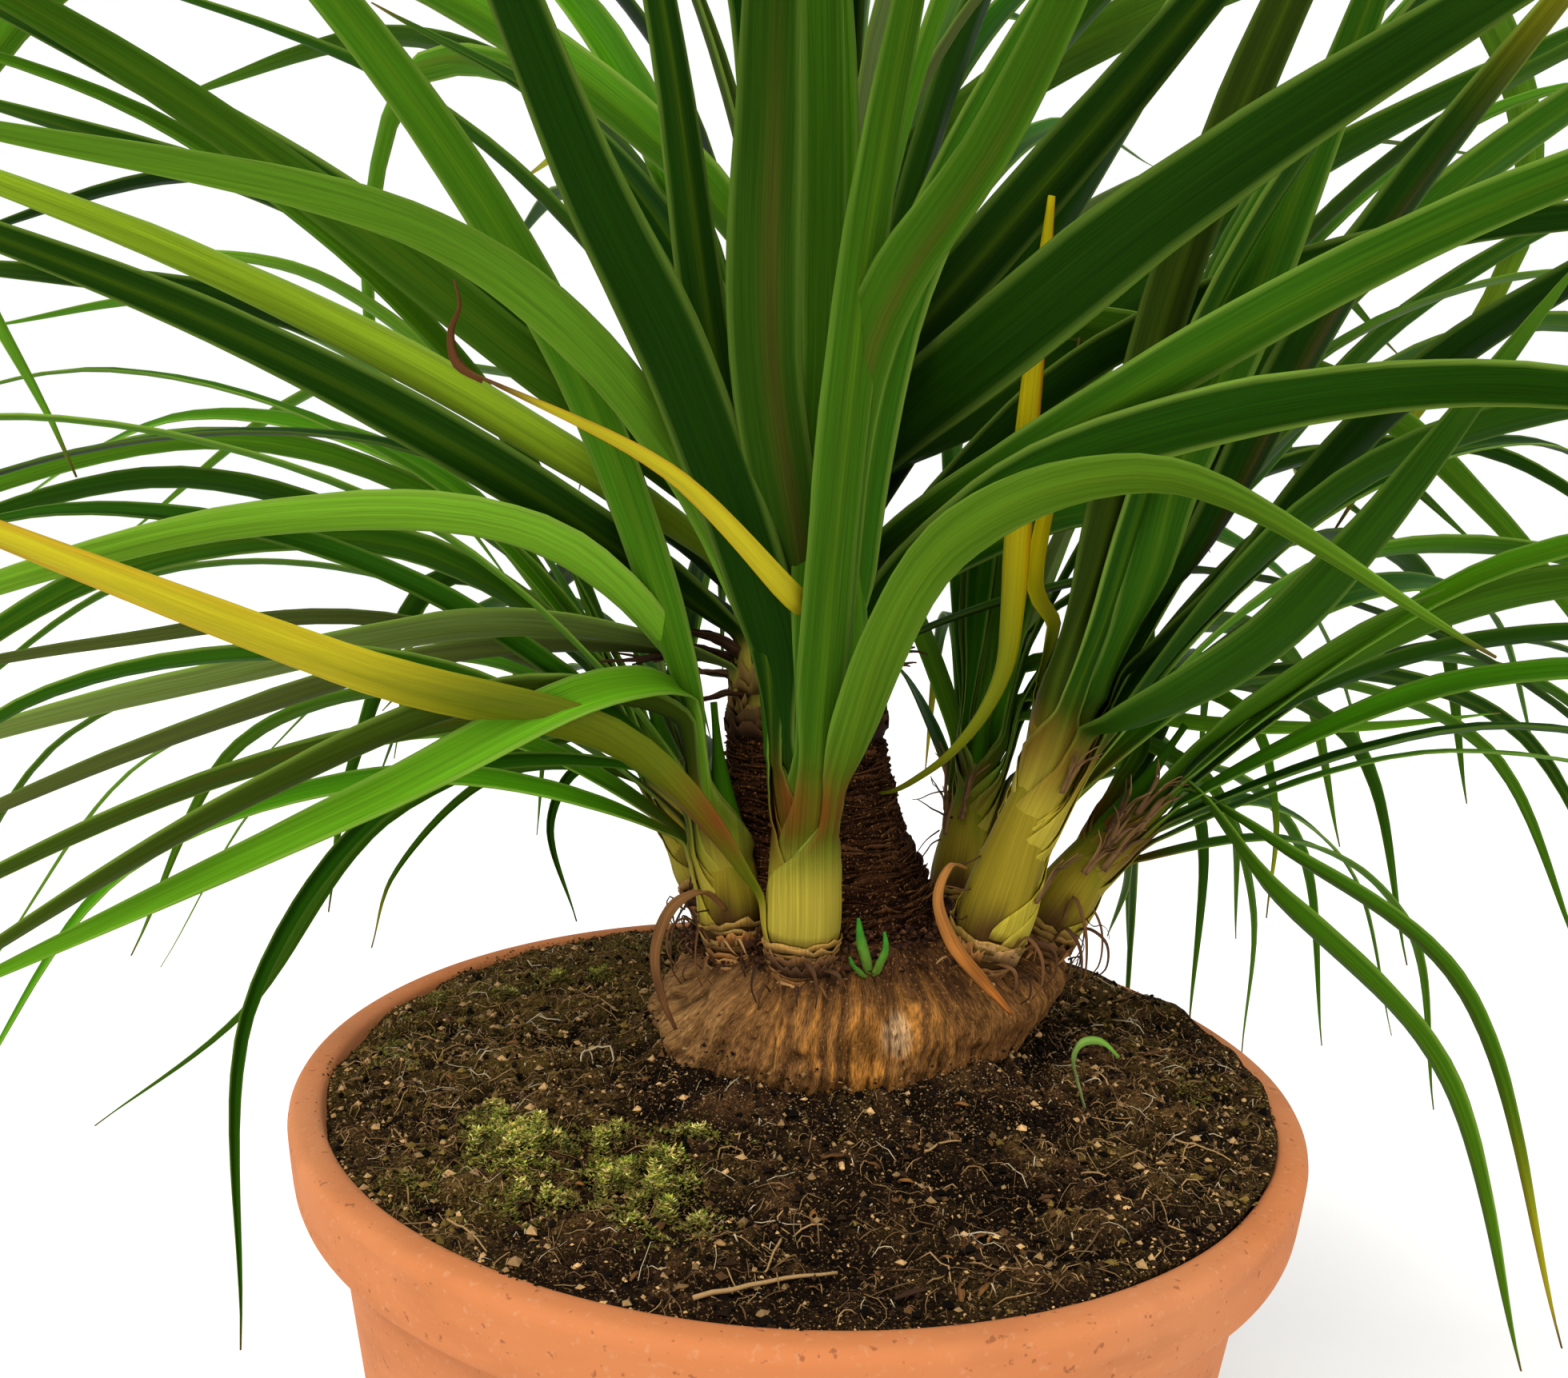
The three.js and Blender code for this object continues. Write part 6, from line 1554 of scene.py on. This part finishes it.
def moss_piece():
    """Tufts of tiny pointed leaflets in low uneven cushions."""
    random = draws("moss")
    soup = Soup()
    for x0, y0, wide, deep, strength in MOSS_PATCHES:
        count = int(MOSS_DENSITY * wide * deep * strength ** 2)
        x = x0 + wide * 0.5 * random.randn(count)
        y = y0 + deep * 0.5 * random.randn(count)
        clumps = flat_noise(x, y, 4.2, 1, 91) + 0.4 * flat_noise(x, y, 2, 1, 93)
        inside = (np.hypot(x, y) < 138) & (clumps > 0.45 - 0.8 * strength) & (caudex_distance(x, y) > 60)
        x, y, clumps = x[inside], y[inside], clumps[inside]
        near = np.exp(-(((x - x0) / wide) ** 2 + ((y - y0) / deep) ** 2))
        mound = strength ** 2 * near * (1.2 + 8 * np.clip(clumps + 0.15, 0, 1) ** 1.2)
        level = random.rand(len(x)) ** 0.4
        turn = 2 * np.pi * random.rand(len(x))
        size = 0.35 + 0.5 * random.rand(len(x))
        lean = 0.2 + 1.2 * random.rand(len(x), 1)
        tufts = field(*turned(MOSS_LEAFLET[None], turn), MOSS_LEAFLET[None, :, 2] * lean)
        height = soil_surface(x, y) + mound * level
        tufts = tufts * size[:, None, None] + field(x, y, height)[:, None]
        picks = MOSS_TONES[random.randint(len(MOSS_TONES), size=len(x))]
        # Painted light and shade in the cushions: high leaflets lighter as painted highlight, low ones darker
        # towards the moss's own brown base
        bright = smooth(0.5, 4.2, mound * level)[:, None]
        tones = mix(MOSS_LOW_AND_SHADE * 0.7, picks, 0.2 + 0.8 * bright) * (0.5 + 1.15 * random.rand(len(x), 1))
        add_copies(soup, tufts, MOSS_FACES, tones)
    return soup


# Pot
POT_SIDES = 220
POT_TONE = srgb(198, 121, 72)


def pot_profile():
    """Radius and height of the clay wall, up the outside, over the rim and down the inside."""
    base, body, rim, inner = BASE_RADIUS, BODY_TOP_RADIUS, RIM_RADIUS, RIM_INNER_RADIUS
    top, collar = POT_HEIGHT, POT_HEIGHT - COLLAR_HEIGHT
    middle = mix(base, body, 0.5) + 1
    outside = [(base - 3.2, 0), (base - 1, 0.8), (base, 3)]
    outside += [(np.interp(z, [3, collar / 2, collar - 2], [base, middle, body]), z)
                for z in np.linspace(14, collar - 3, 16)]
    ledge = [(body + 0.3, collar - 1.2), (body + 1.2, collar - 0.2), (body + 3, collar), (rim - 5, collar),
             (rim - 3.2, collar + 0.3), (rim - 2.2, collar + 1.2), (rim - 1.7, collar + 2.6)]
    face = [(rim - 1.3, collar + 5), (rim - 0.7, collar + 10), (rim - 0.2, top - 6), (rim, top - 3.6),
            (rim - 0.2, top - 2.2), (rim - 0.9, top - 1.0), (rim - 2.0, top - 0.25), (rim - 3.2, top)]
    lip = [(rim - 5, top + 0.05), (inner + 2.6, top - 0.1), (inner + 1.2, top - 0.6),
           (inner + 0.4, top - 1.6), (inner, top - 3.4)]
    return outside + ledge + face + lip + [(radius, z) for z, radius in reversed(INNER_WALL)]


def cut_drain_holes(pot):
    mesh = bpy.data.meshes.new("drain_cutter")
    cutter = bmesh.new()
    for k in range(DRAIN_COUNT):
        x, y = polar(DRAIN_CIRCLE * MM, math.radians(45 + 360 / DRAIN_COUNT * k))
        bmesh.ops.create_cone(cutter, cap_ends=True, segments=28, radius1=DRAIN_RADIUS * MM,
                              radius2=DRAIN_RADIUS * MM, depth=40 * MM,
                              matrix=Matrix.Translation((x, y, 5 * MM)))
    cutter.to_mesh(mesh)
    cutter.free()
    tool = bpy.data.objects.new("drain_cutter", mesh)
    bpy.context.scene.collection.objects.link(tool)
    cut = pot.modifiers.new("drain", "BOOLEAN")
    cut.object, cut.operation, cut.solver = tool, "DIFFERENCE", "EXACT"
    graph = bpy.context.evaluated_depsgraph_get()
    shape = pot.evaluated_get(graph)
    done = bpy.data.meshes.new_from_object(shape, preserve_all_data_layers=True, depsgraph=graph)
    pot.modifiers.clear()
    pot.data = done
    bpy.data.objects.remove(tool)


def pot_piece(material):
    soup = Soup()
    turn = circle(POT_SIDES)
    radius, height = np.array(pot_profile()).T[:, :, None]
    uneven = 1 + 0.0016 * circle_noise(turn, 2, 0, 97)
    rings = field(radius * np.cos(turn) * uneven, radius * np.sin(turn) * uneven, height)
    add_rings(soup, rings, POT_TONE, rings)
    pot = soup.piece("pot_clay", material)
    cut_drain_holes(pot)
    return pot


# Dried strips and young shoots: slot, tones from foot to tip, curl, facing, then each path with its widths
FINE_STRIPS = {
    "dried_sheath_right": ("dried_leaf", srgb(176, 120, 56), srgb(150, 88, 30), 0.5, (1, 0, 0), [
        ([[47, -20, 298], [41, -31, 301], [37.5, -37, 293], [42, -40, 281], [50, -42, 272], [59, -44, 263]],
         [1.0, 1.8, 2.8, 3.8, 3.4, 0.8])]),
    "dried_curl_left": ("dried_leaf", srgb(140, 98, 52), srgb(96, 60, 30), 0.6, (1, 0, 0), [
        ([[-23, -23, 283], [-29, -30, 290], [-37, -36, 287], [-41, -42, 275], [-38, -46, 263],
          [-34, -47, 255]],
         [1.5, 2.6, 3.2, 2.8, 2, 0.6])]),
    "caudex_shoot": ("young_shoot", srgb(130, 156, 60), srgb(50, 128, 30), 0.4, (1, 0, 0), [
        ([[20, -31, 266], [18.5, -35, 273], [16.5, -37, 280], [15.5, -38, 286.5]], [1.6, 2.8, 2.8, 0.6]),
        ([[20.5, -31, 266], [22, -36, 272.5], [23.5, -38, 278], [23, -38.5, 283]], [1.4, 2.2, 2.0, 0.5]),
        ([[19.5, -31, 266], [17, -36, 270], [14.5, -38, 273], [13.5, -39, 275.5]], [1.3, 1.8, 1.4, 0.4])]),
    "soil_seedling": ("young_shoot", srgb(150, 156, 100), srgb(110, 156, 54), 0.4, (0, 1, 0.4), [
        ([[84, -38, 229], [80, -40, 240], [77, -42, 250], [79, -43, 255.5], [84, -44, 256.5],
          [89, -45, 252.5]],
         [0.9, 1.1, 1.4, 2.4, 2.8, 0.7])]),
}
FINE_STRIP_SAMPLES = 44


def add_strip(soup, path, widths, tone_low, tone_high, curl, facing):
    points, tangent, across = route_axes(path, FINE_STRIP_SAMPLES, facing)
    normal = np.cross(tangent, across)
    columns = np.array([-1, -0.6, -0.2, 0.2, 0.6, 1.0])[None]
    s = np.linspace(0, 1, FINE_STRIP_SAMPLES + 1)[:, None]
    half = widths_at(s, widths) / 2
    ragged = 0.15 * noise(field(columns * 2, s * 14, 7.0), 101)
    bow = (ragged - curl * (1 - columns ** 2)) * half
    grid = points[:, None] + across[:, None] * (columns * half)[..., None] + normal[:, None] * bow[..., None]
    patch = noise(field(columns * 1.4, s * 9, 3.0), 103)[..., None]
    tone = mix(tone_low, tone_high, smooth(0, 1, s)[..., None]) * (1 + 0.2 * patch)
    tone = tone * (0.75 + 0.25 * (1 - np.abs(columns[..., None]) ** 2))
    add_shell(soup, grid, 0.6, tone, field(columns * half, s * 60, 2.0))


# Surfaces
class Finish:
    """A material round one principled shader, with short ways to add nodes to it."""

    def __init__(self, name, rough, specular):
        self.material = bpy.data.materials.new(name)
        self.material.use_nodes = True
        self.nodes, self.links = self.material.node_tree.nodes, self.material.node_tree.links
        self.shader = self.nodes["Principled BSDF"]
        self.feed(self.shader, {"Roughness": rough, "Specular IOR Level": specular})

    def feed(self, node, inputs):
        """Sets each input of a node, or links it if it is fed by another node's output."""
        for key, value in inputs.items():
            if isinstance(value, bpy.types.NodeSocket):
                self.links.new(value, node.inputs[key])
            else:
                node.inputs[key].default_value = value

    def add(self, kind, output, inputs, **settings):
        node = self.nodes.new("ShaderNode" + kind)
        for key, value in settings.items():
            setattr(node, key, value)
        self.feed(node, inputs)
        return node.outputs[output]

    def noise(self, source, scale, detail, stretch=None):
        """A noise texture read at a source of coordinates, stretched along its axes."""
        if stretch:
            source = self.add("VectorMath", "Vector", {0: source, 1: stretch}, operation="MULTIPLY")
        return self.add("TexNoise", 0, {"Vector": source, "Scale": scale, "Detail": detail})

    def ranged(self, value, low, high, to_low, to_high):
        limits = {"From Min": low, "From Max": high, "To Min": to_low, "To Max": to_high}
        return self.add("MapRange", "Result", {"Value": value, **limits})

    def blend(self, share, colour, tone):
        return self.add("Mix", 2, {0: share, 6: colour, 7: (*tone, 1)}, data_type="RGBA")

    def finish(self, colour, height, strength, distance_mm):
        """Colours the shader and raises bumps on it."""
        inputs = {"Strength": strength, "Distance": distance_mm * MM, "Height": height}
        self.feed(self.shader, {"Base Color": colour, "Normal": self.add("Bump", "Normal", inputs)})
        return self.material


def surface(name, rough, stripe, bump, stretch, specular=0.12, relief_mm=0.5, fine=0.0, specks=None):
    """A finish coloured by each piece's tone, with streaks, finer streaks and specks along its strands."""
    made = Finish(name, rough, specular)
    colour = made.add("Attribute", "Color", {}, attribute_name="tone")
    strand = made.add("Attribute", "Vector", {}, attribute_name="strand")
    streaks = made.noise(strand, 1.0, 3.0, stretch)
    shade = made.ranged(streaks, 0.3, 0.7, 1 - stripe, 1 + stripe)
    if fine:
        streaks = made.noise(strand, 3.0, 4.0, stretch)
        finer = made.ranged(streaks, 0.35, 0.65, 1 - fine, 1 + fine)
        shade = made.add("Math", 0, {0: shade, 1: finer}, operation="MULTIPLY")
    if specks is not None:
        dots = made.ranged(made.noise(strand, 1.3, 2.0), 0.6, 0.68, 0, 0.85)
        colour = made.blend(dots, colour, specks)
    colour = made.add("VectorMath", "Vector", {0: colour, "Scale": shade}, operation="SCALE")
    return made.finish(colour, streaks, bump, relief_mm)


# Each layer of the clay's colour: scale, detail, limits, strength, tone and stretch
CLAY_LAYERS = [
    (11, 3, 0.40, 0.64, 0.7, srgb(202, 132, 88), None),
    (30, 4, 0.5, 0.75, 0.45, srgb(158, 96, 58), (1, 1, 3)),
    (520, 2, 0.60, 0.75, 0.4, srgb(206, 152, 112), None),
    (420, 2, 0.66, 0.72, 0.6, srgb(122, 70, 42), None),
]


def clay_surface():
    """Fired clay: a warm body with soft uneven patches, pale bloom and fine speckle."""
    made = Finish("terracotta_fine", 0.85, 0.15)
    place = made.add("TexCoord", "Object", {})
    colour = (*POT_TONE, 1)
    for scale, detail, low, high, most, tone, stretch in CLAY_LAYERS:
        grain = made.noise(place, scale, detail, stretch)
        colour = made.blend(made.ranged(grain, low, high, 0, most), colour, tone)
    return made.finish(colour, grain, 0.15, 0.3)


# The plant
FINISHES = {
    "leaf": surface("leaf_fine", 0.5, 0.14, 0.3, (0.9, 0.01, 1.0), 0.02, fine=0.14),
    "yellow_leaf": surface("yellow_leaf_fine", 0.5, 0.12, 0.3, (1.0, 0.02, 1.0), 0.05, fine=0.08),
    "bark": surface("bark_fine", 0.9, 0.3, 0.8, (0.8, 0.16, 1.0), 0.04, 0.5, 0.5, srgb(150, 104, 58)),
    "soil": surface("soil_fine", 0.95, 0.45, 1.0, (0.8, 0.8, 0.8), 0.03, 0.8, 0.7, SOIL_TAN * 0.8),
    "grain": surface("soil_crumb_fine", 0.95, 0.2, 0.3, (1.2, 1.2, 1.2), 0.08, 0.3),
    "dried_leaf": surface("dried_leaf_fine", 0.75, 0.3, 0.5, (1.8, 0.06, 1.0), 0.15),
    "young_shoot": surface("young_shoot_fine", 0.5, 0.12, 0.3, (1.8, 0.03, 1.0)),
}

# Each new piece with its slot and the nodes that it stands for
PIECES = []


def keep_piece(soup, name, material_slot, *nodes, finish=None, smooth_shaded=True):
    piece = soup.piece(name, FINISHES[finish or material_slot], smooth_shaded)
    PIECES.append((piece, material_slot, nodes))


# How chosen leaves change once all are arranged: node, tone, width, then the new values
LEAF_CHANGES = [
    ("yellow_crown_leaf", "yellow", 12, {"height": 0.5, "lift": 20, "width": 6.5, "first": [-3, -53, 374],
                                         "second": [-37, -76, 406], "tip": [-86, -84, 428]}),
    ("yellow_right_leaf", "yellow", 9, {"width": 6.5}),
    ("yellow_short_leaf", "yellow", 8, {"width": 5}),
    ("yellow_front_leaf", "yellow", 12, {"first": [-47.7, -42, 332]}),
    ("front", "vivid", 13, {"height": 0.6, "lift": 14}),
    ("front", "bright", 14, {"height": 0.88, "lift": 26, "width": 12, "first": [-36, -47, 408],
                             "second": [-74, -112, 447]}),
    ("front", "deep", 20, {"height": 0.88, "lift": 26}),
    ("front", "deep", 12, {"height": 0.78, "lift": 26}),
    ("front", "fresh", 15, {"height": 0.68, "lift": 26, "first": [5, -74, 425]}),
    ("front", "fresh", 18, {"height": 0.88, "lift": 26, "width": 14}),
    ("crown", "fresh", 17, {"width": 13}),
]
# The dry curl at the end of the crown's yellow leaf, from the leaf's tip
TIP_CURL = np.array([[5, 1, -3], [-1, 0, 1], [-2.5, 0, 8], [-0.5, 0, 14], [-2, 0, 20]])
TIP_CURL_WIDTHS = [0.9, 2.5, 2.1, 1.4, 0.5]
BROAD_LEAF = 16
BROAD_LEAF_SHARE = 0.9

leaves = arrange_leaves()
for leaf in leaves:
    for *chosen, changes in LEAF_CHANGES:
        if [leaf["node"], leaf.get("tone"), leaf["width"]] == chosen:
            leaf.update(changes)
            break
    if leaf["width"] > BROAD_LEAF:
        leaf["width"] *= BROAD_LEAF_SHARE
stack_sheaths(leaves)
for stem_name, stem in STEMS.items():
    random = np.random.RandomState(SEEDS["leaves"] + stem["foot"][0] + stem["length"])
    soup = Soup()
    add_core(soup, stem_name, stem)
    for leaf in leaves:
        if leaf["node"] == stem_name:
            add_leaf(soup, leaf, random)
    keep_piece(soup, stem_name + "_leaves", "leaf", stem_name + "_leafy_stem")
for leaf in leaves:
    node = leaf["node"]
    if node not in OWN_LEAVES:
        continue
    soup = Soup()
    if node == "yellow_right_leaf":
        add_yellow_right(soup)
    else:
        add_leaf(soup, leaf, np.random.RandomState(len(node)))
    if node == "yellow_crown_leaf":
        add_ribbon(soup, leaf["tip"] + TIP_CURL, TIP_CURL_WIDTHS, TIP_BROWN, samples=16, twist=2.0,
                   facing=(1, 0, 0), cup=0.3, thickness=0.4)
    keep_piece(soup, node + "_blade", "yellow_leaf", node)

wood = caudex_piece()
add_trunk(wood)
keep_piece(wood, "caudex_bark", "bark", "caudex_and_trunk")
soup = Soup()
for stem_name, stem in STEMS.items():
    if stem["plug"]:
        add_foot_dress(soup, stem_name, stem, np.random.RandomState(stem["length"]))
add_crown_foot(soup, draws("crown_foot"))
add_shreds(soup, draws("shreds"))
add_debris(soup, draws("debris"))
keep_piece(soup, "stem_feet", "dried_leaf")

keep_piece(soil_piece(), "soil_bed", "soil", "soil")
keep_piece(crumbs_piece(), "soil_crumbs", "soil", finish="grain", smooth_shaded=False)
keep_piece(fibres_piece(), "soil_fibres", "soil", finish="grain")
keep_piece(chips_piece(), "soil_chips", "dried_leaf")
keep_piece(moss_piece(), "moss", "young_shoot", finish="grain", smooth_shaded=False)

for name, (slot, low, high, curl, facing, routes) in FINE_STRIPS.items():
    soup = Soup()
    for path, widths in routes:
        add_strip(soup, path, widths, low, high, curl, facing)
    keep_piece(soup, name + "_fine", slot, name)

PIECES.append((pot_piece(clay_surface()), "terracotta", ["pot"]))

# Floor, light and camera
FLOOR_TONE = srgb(244, 244, 242)
FLOOR_REACH = 6.0
WORLD_STRENGTH = 1.0
SUN_STRENGTH = 1.8
SUN_SPREAD = math.radians(20)
LENS = 29.39
SENSOR_WIDTH = 36
CAMERA_PLACE = Vector((0, -389 * MM, 388.2 * MM))
CAMERA_YAW, CAMERA_PITCH, CAMERA_ROLL = (math.radians(a) for a in (-1.31, -6.17, 2.32))

floor_mesh = bpy.data.meshes.new("floor")
corners = [(x * FLOOR_REACH, y * FLOOR_REACH, 0) for x, y in ((-1, -1), (1, -1), (1, 1), (-1, 1))]
floor_mesh.from_pydata(corners, [], [(0, 1, 2, 3)])
floor = bpy.data.objects.new("floor", floor_mesh)
bpy.context.scene.collection.objects.link(floor)
floor_finish = Finish("floor", 0.9, 0.3)
floor_finish.feed(floor_finish.shader, {"Base Color": (*FLOOR_TONE, 1)})
floor_mesh.materials.append(floor_finish.material)

scene = bpy.context.scene
scene.view_settings.view_transform = "Standard"
world = scene.world or bpy.data.worlds.new("world")
scene.world = world
world.use_nodes = True
sky = world.node_tree.nodes["Background"]
sky.inputs["Color"].default_value = (1, 1, 1, 1)
sky.inputs["Strength"].default_value = WORLD_STRENGTH

lamp = bpy.data.lights.new("window", "SUN")
lamp.energy = SUN_STRENGTH
lamp.angle = SUN_SPREAD
lamp.color = (1, 0.98, 0.94)
window = bpy.data.objects.new("window", lamp)
window.rotation_euler = Vector((0.35, 0.55, -1)).to_track_quat("-Z", "Y").to_euler()
scene.collection.objects.link(window)

flat = math.cos(CAMERA_PITCH)
forward = Vector((math.sin(CAMERA_YAW) * flat, math.cos(CAMERA_YAW) * flat, math.sin(CAMERA_PITCH)))
level = Vector((math.cos(CAMERA_YAW), -math.sin(CAMERA_YAW), 0))
upright = level.cross(forward)
right_hand = level * math.cos(CAMERA_ROLL) + upright * math.sin(CAMERA_ROLL)
overhead = upright * math.cos(CAMERA_ROLL) - level * math.sin(CAMERA_ROLL)
camera_data = bpy.data.cameras.new("photo_camera")
camera_data.lens = LENS
camera_data.sensor_width = SENSOR_WIDTH
camera_data.sensor_fit = "HORIZONTAL"
camera_data.clip_start = 0.01
camera = bpy.data.objects.new("photo_camera", camera_data)
basis = Matrix((right_hand, overhead, -forward)).transposed()
camera.matrix_world = Matrix.Translation(CAMERA_PLACE) @ basis.to_4x4()
scene.collection.objects.link(camera)
scene.camera = camera

for piece, material_slot, nodes in PIECES:
    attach(piece, "root")
    if nodes:
        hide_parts(*nodes)
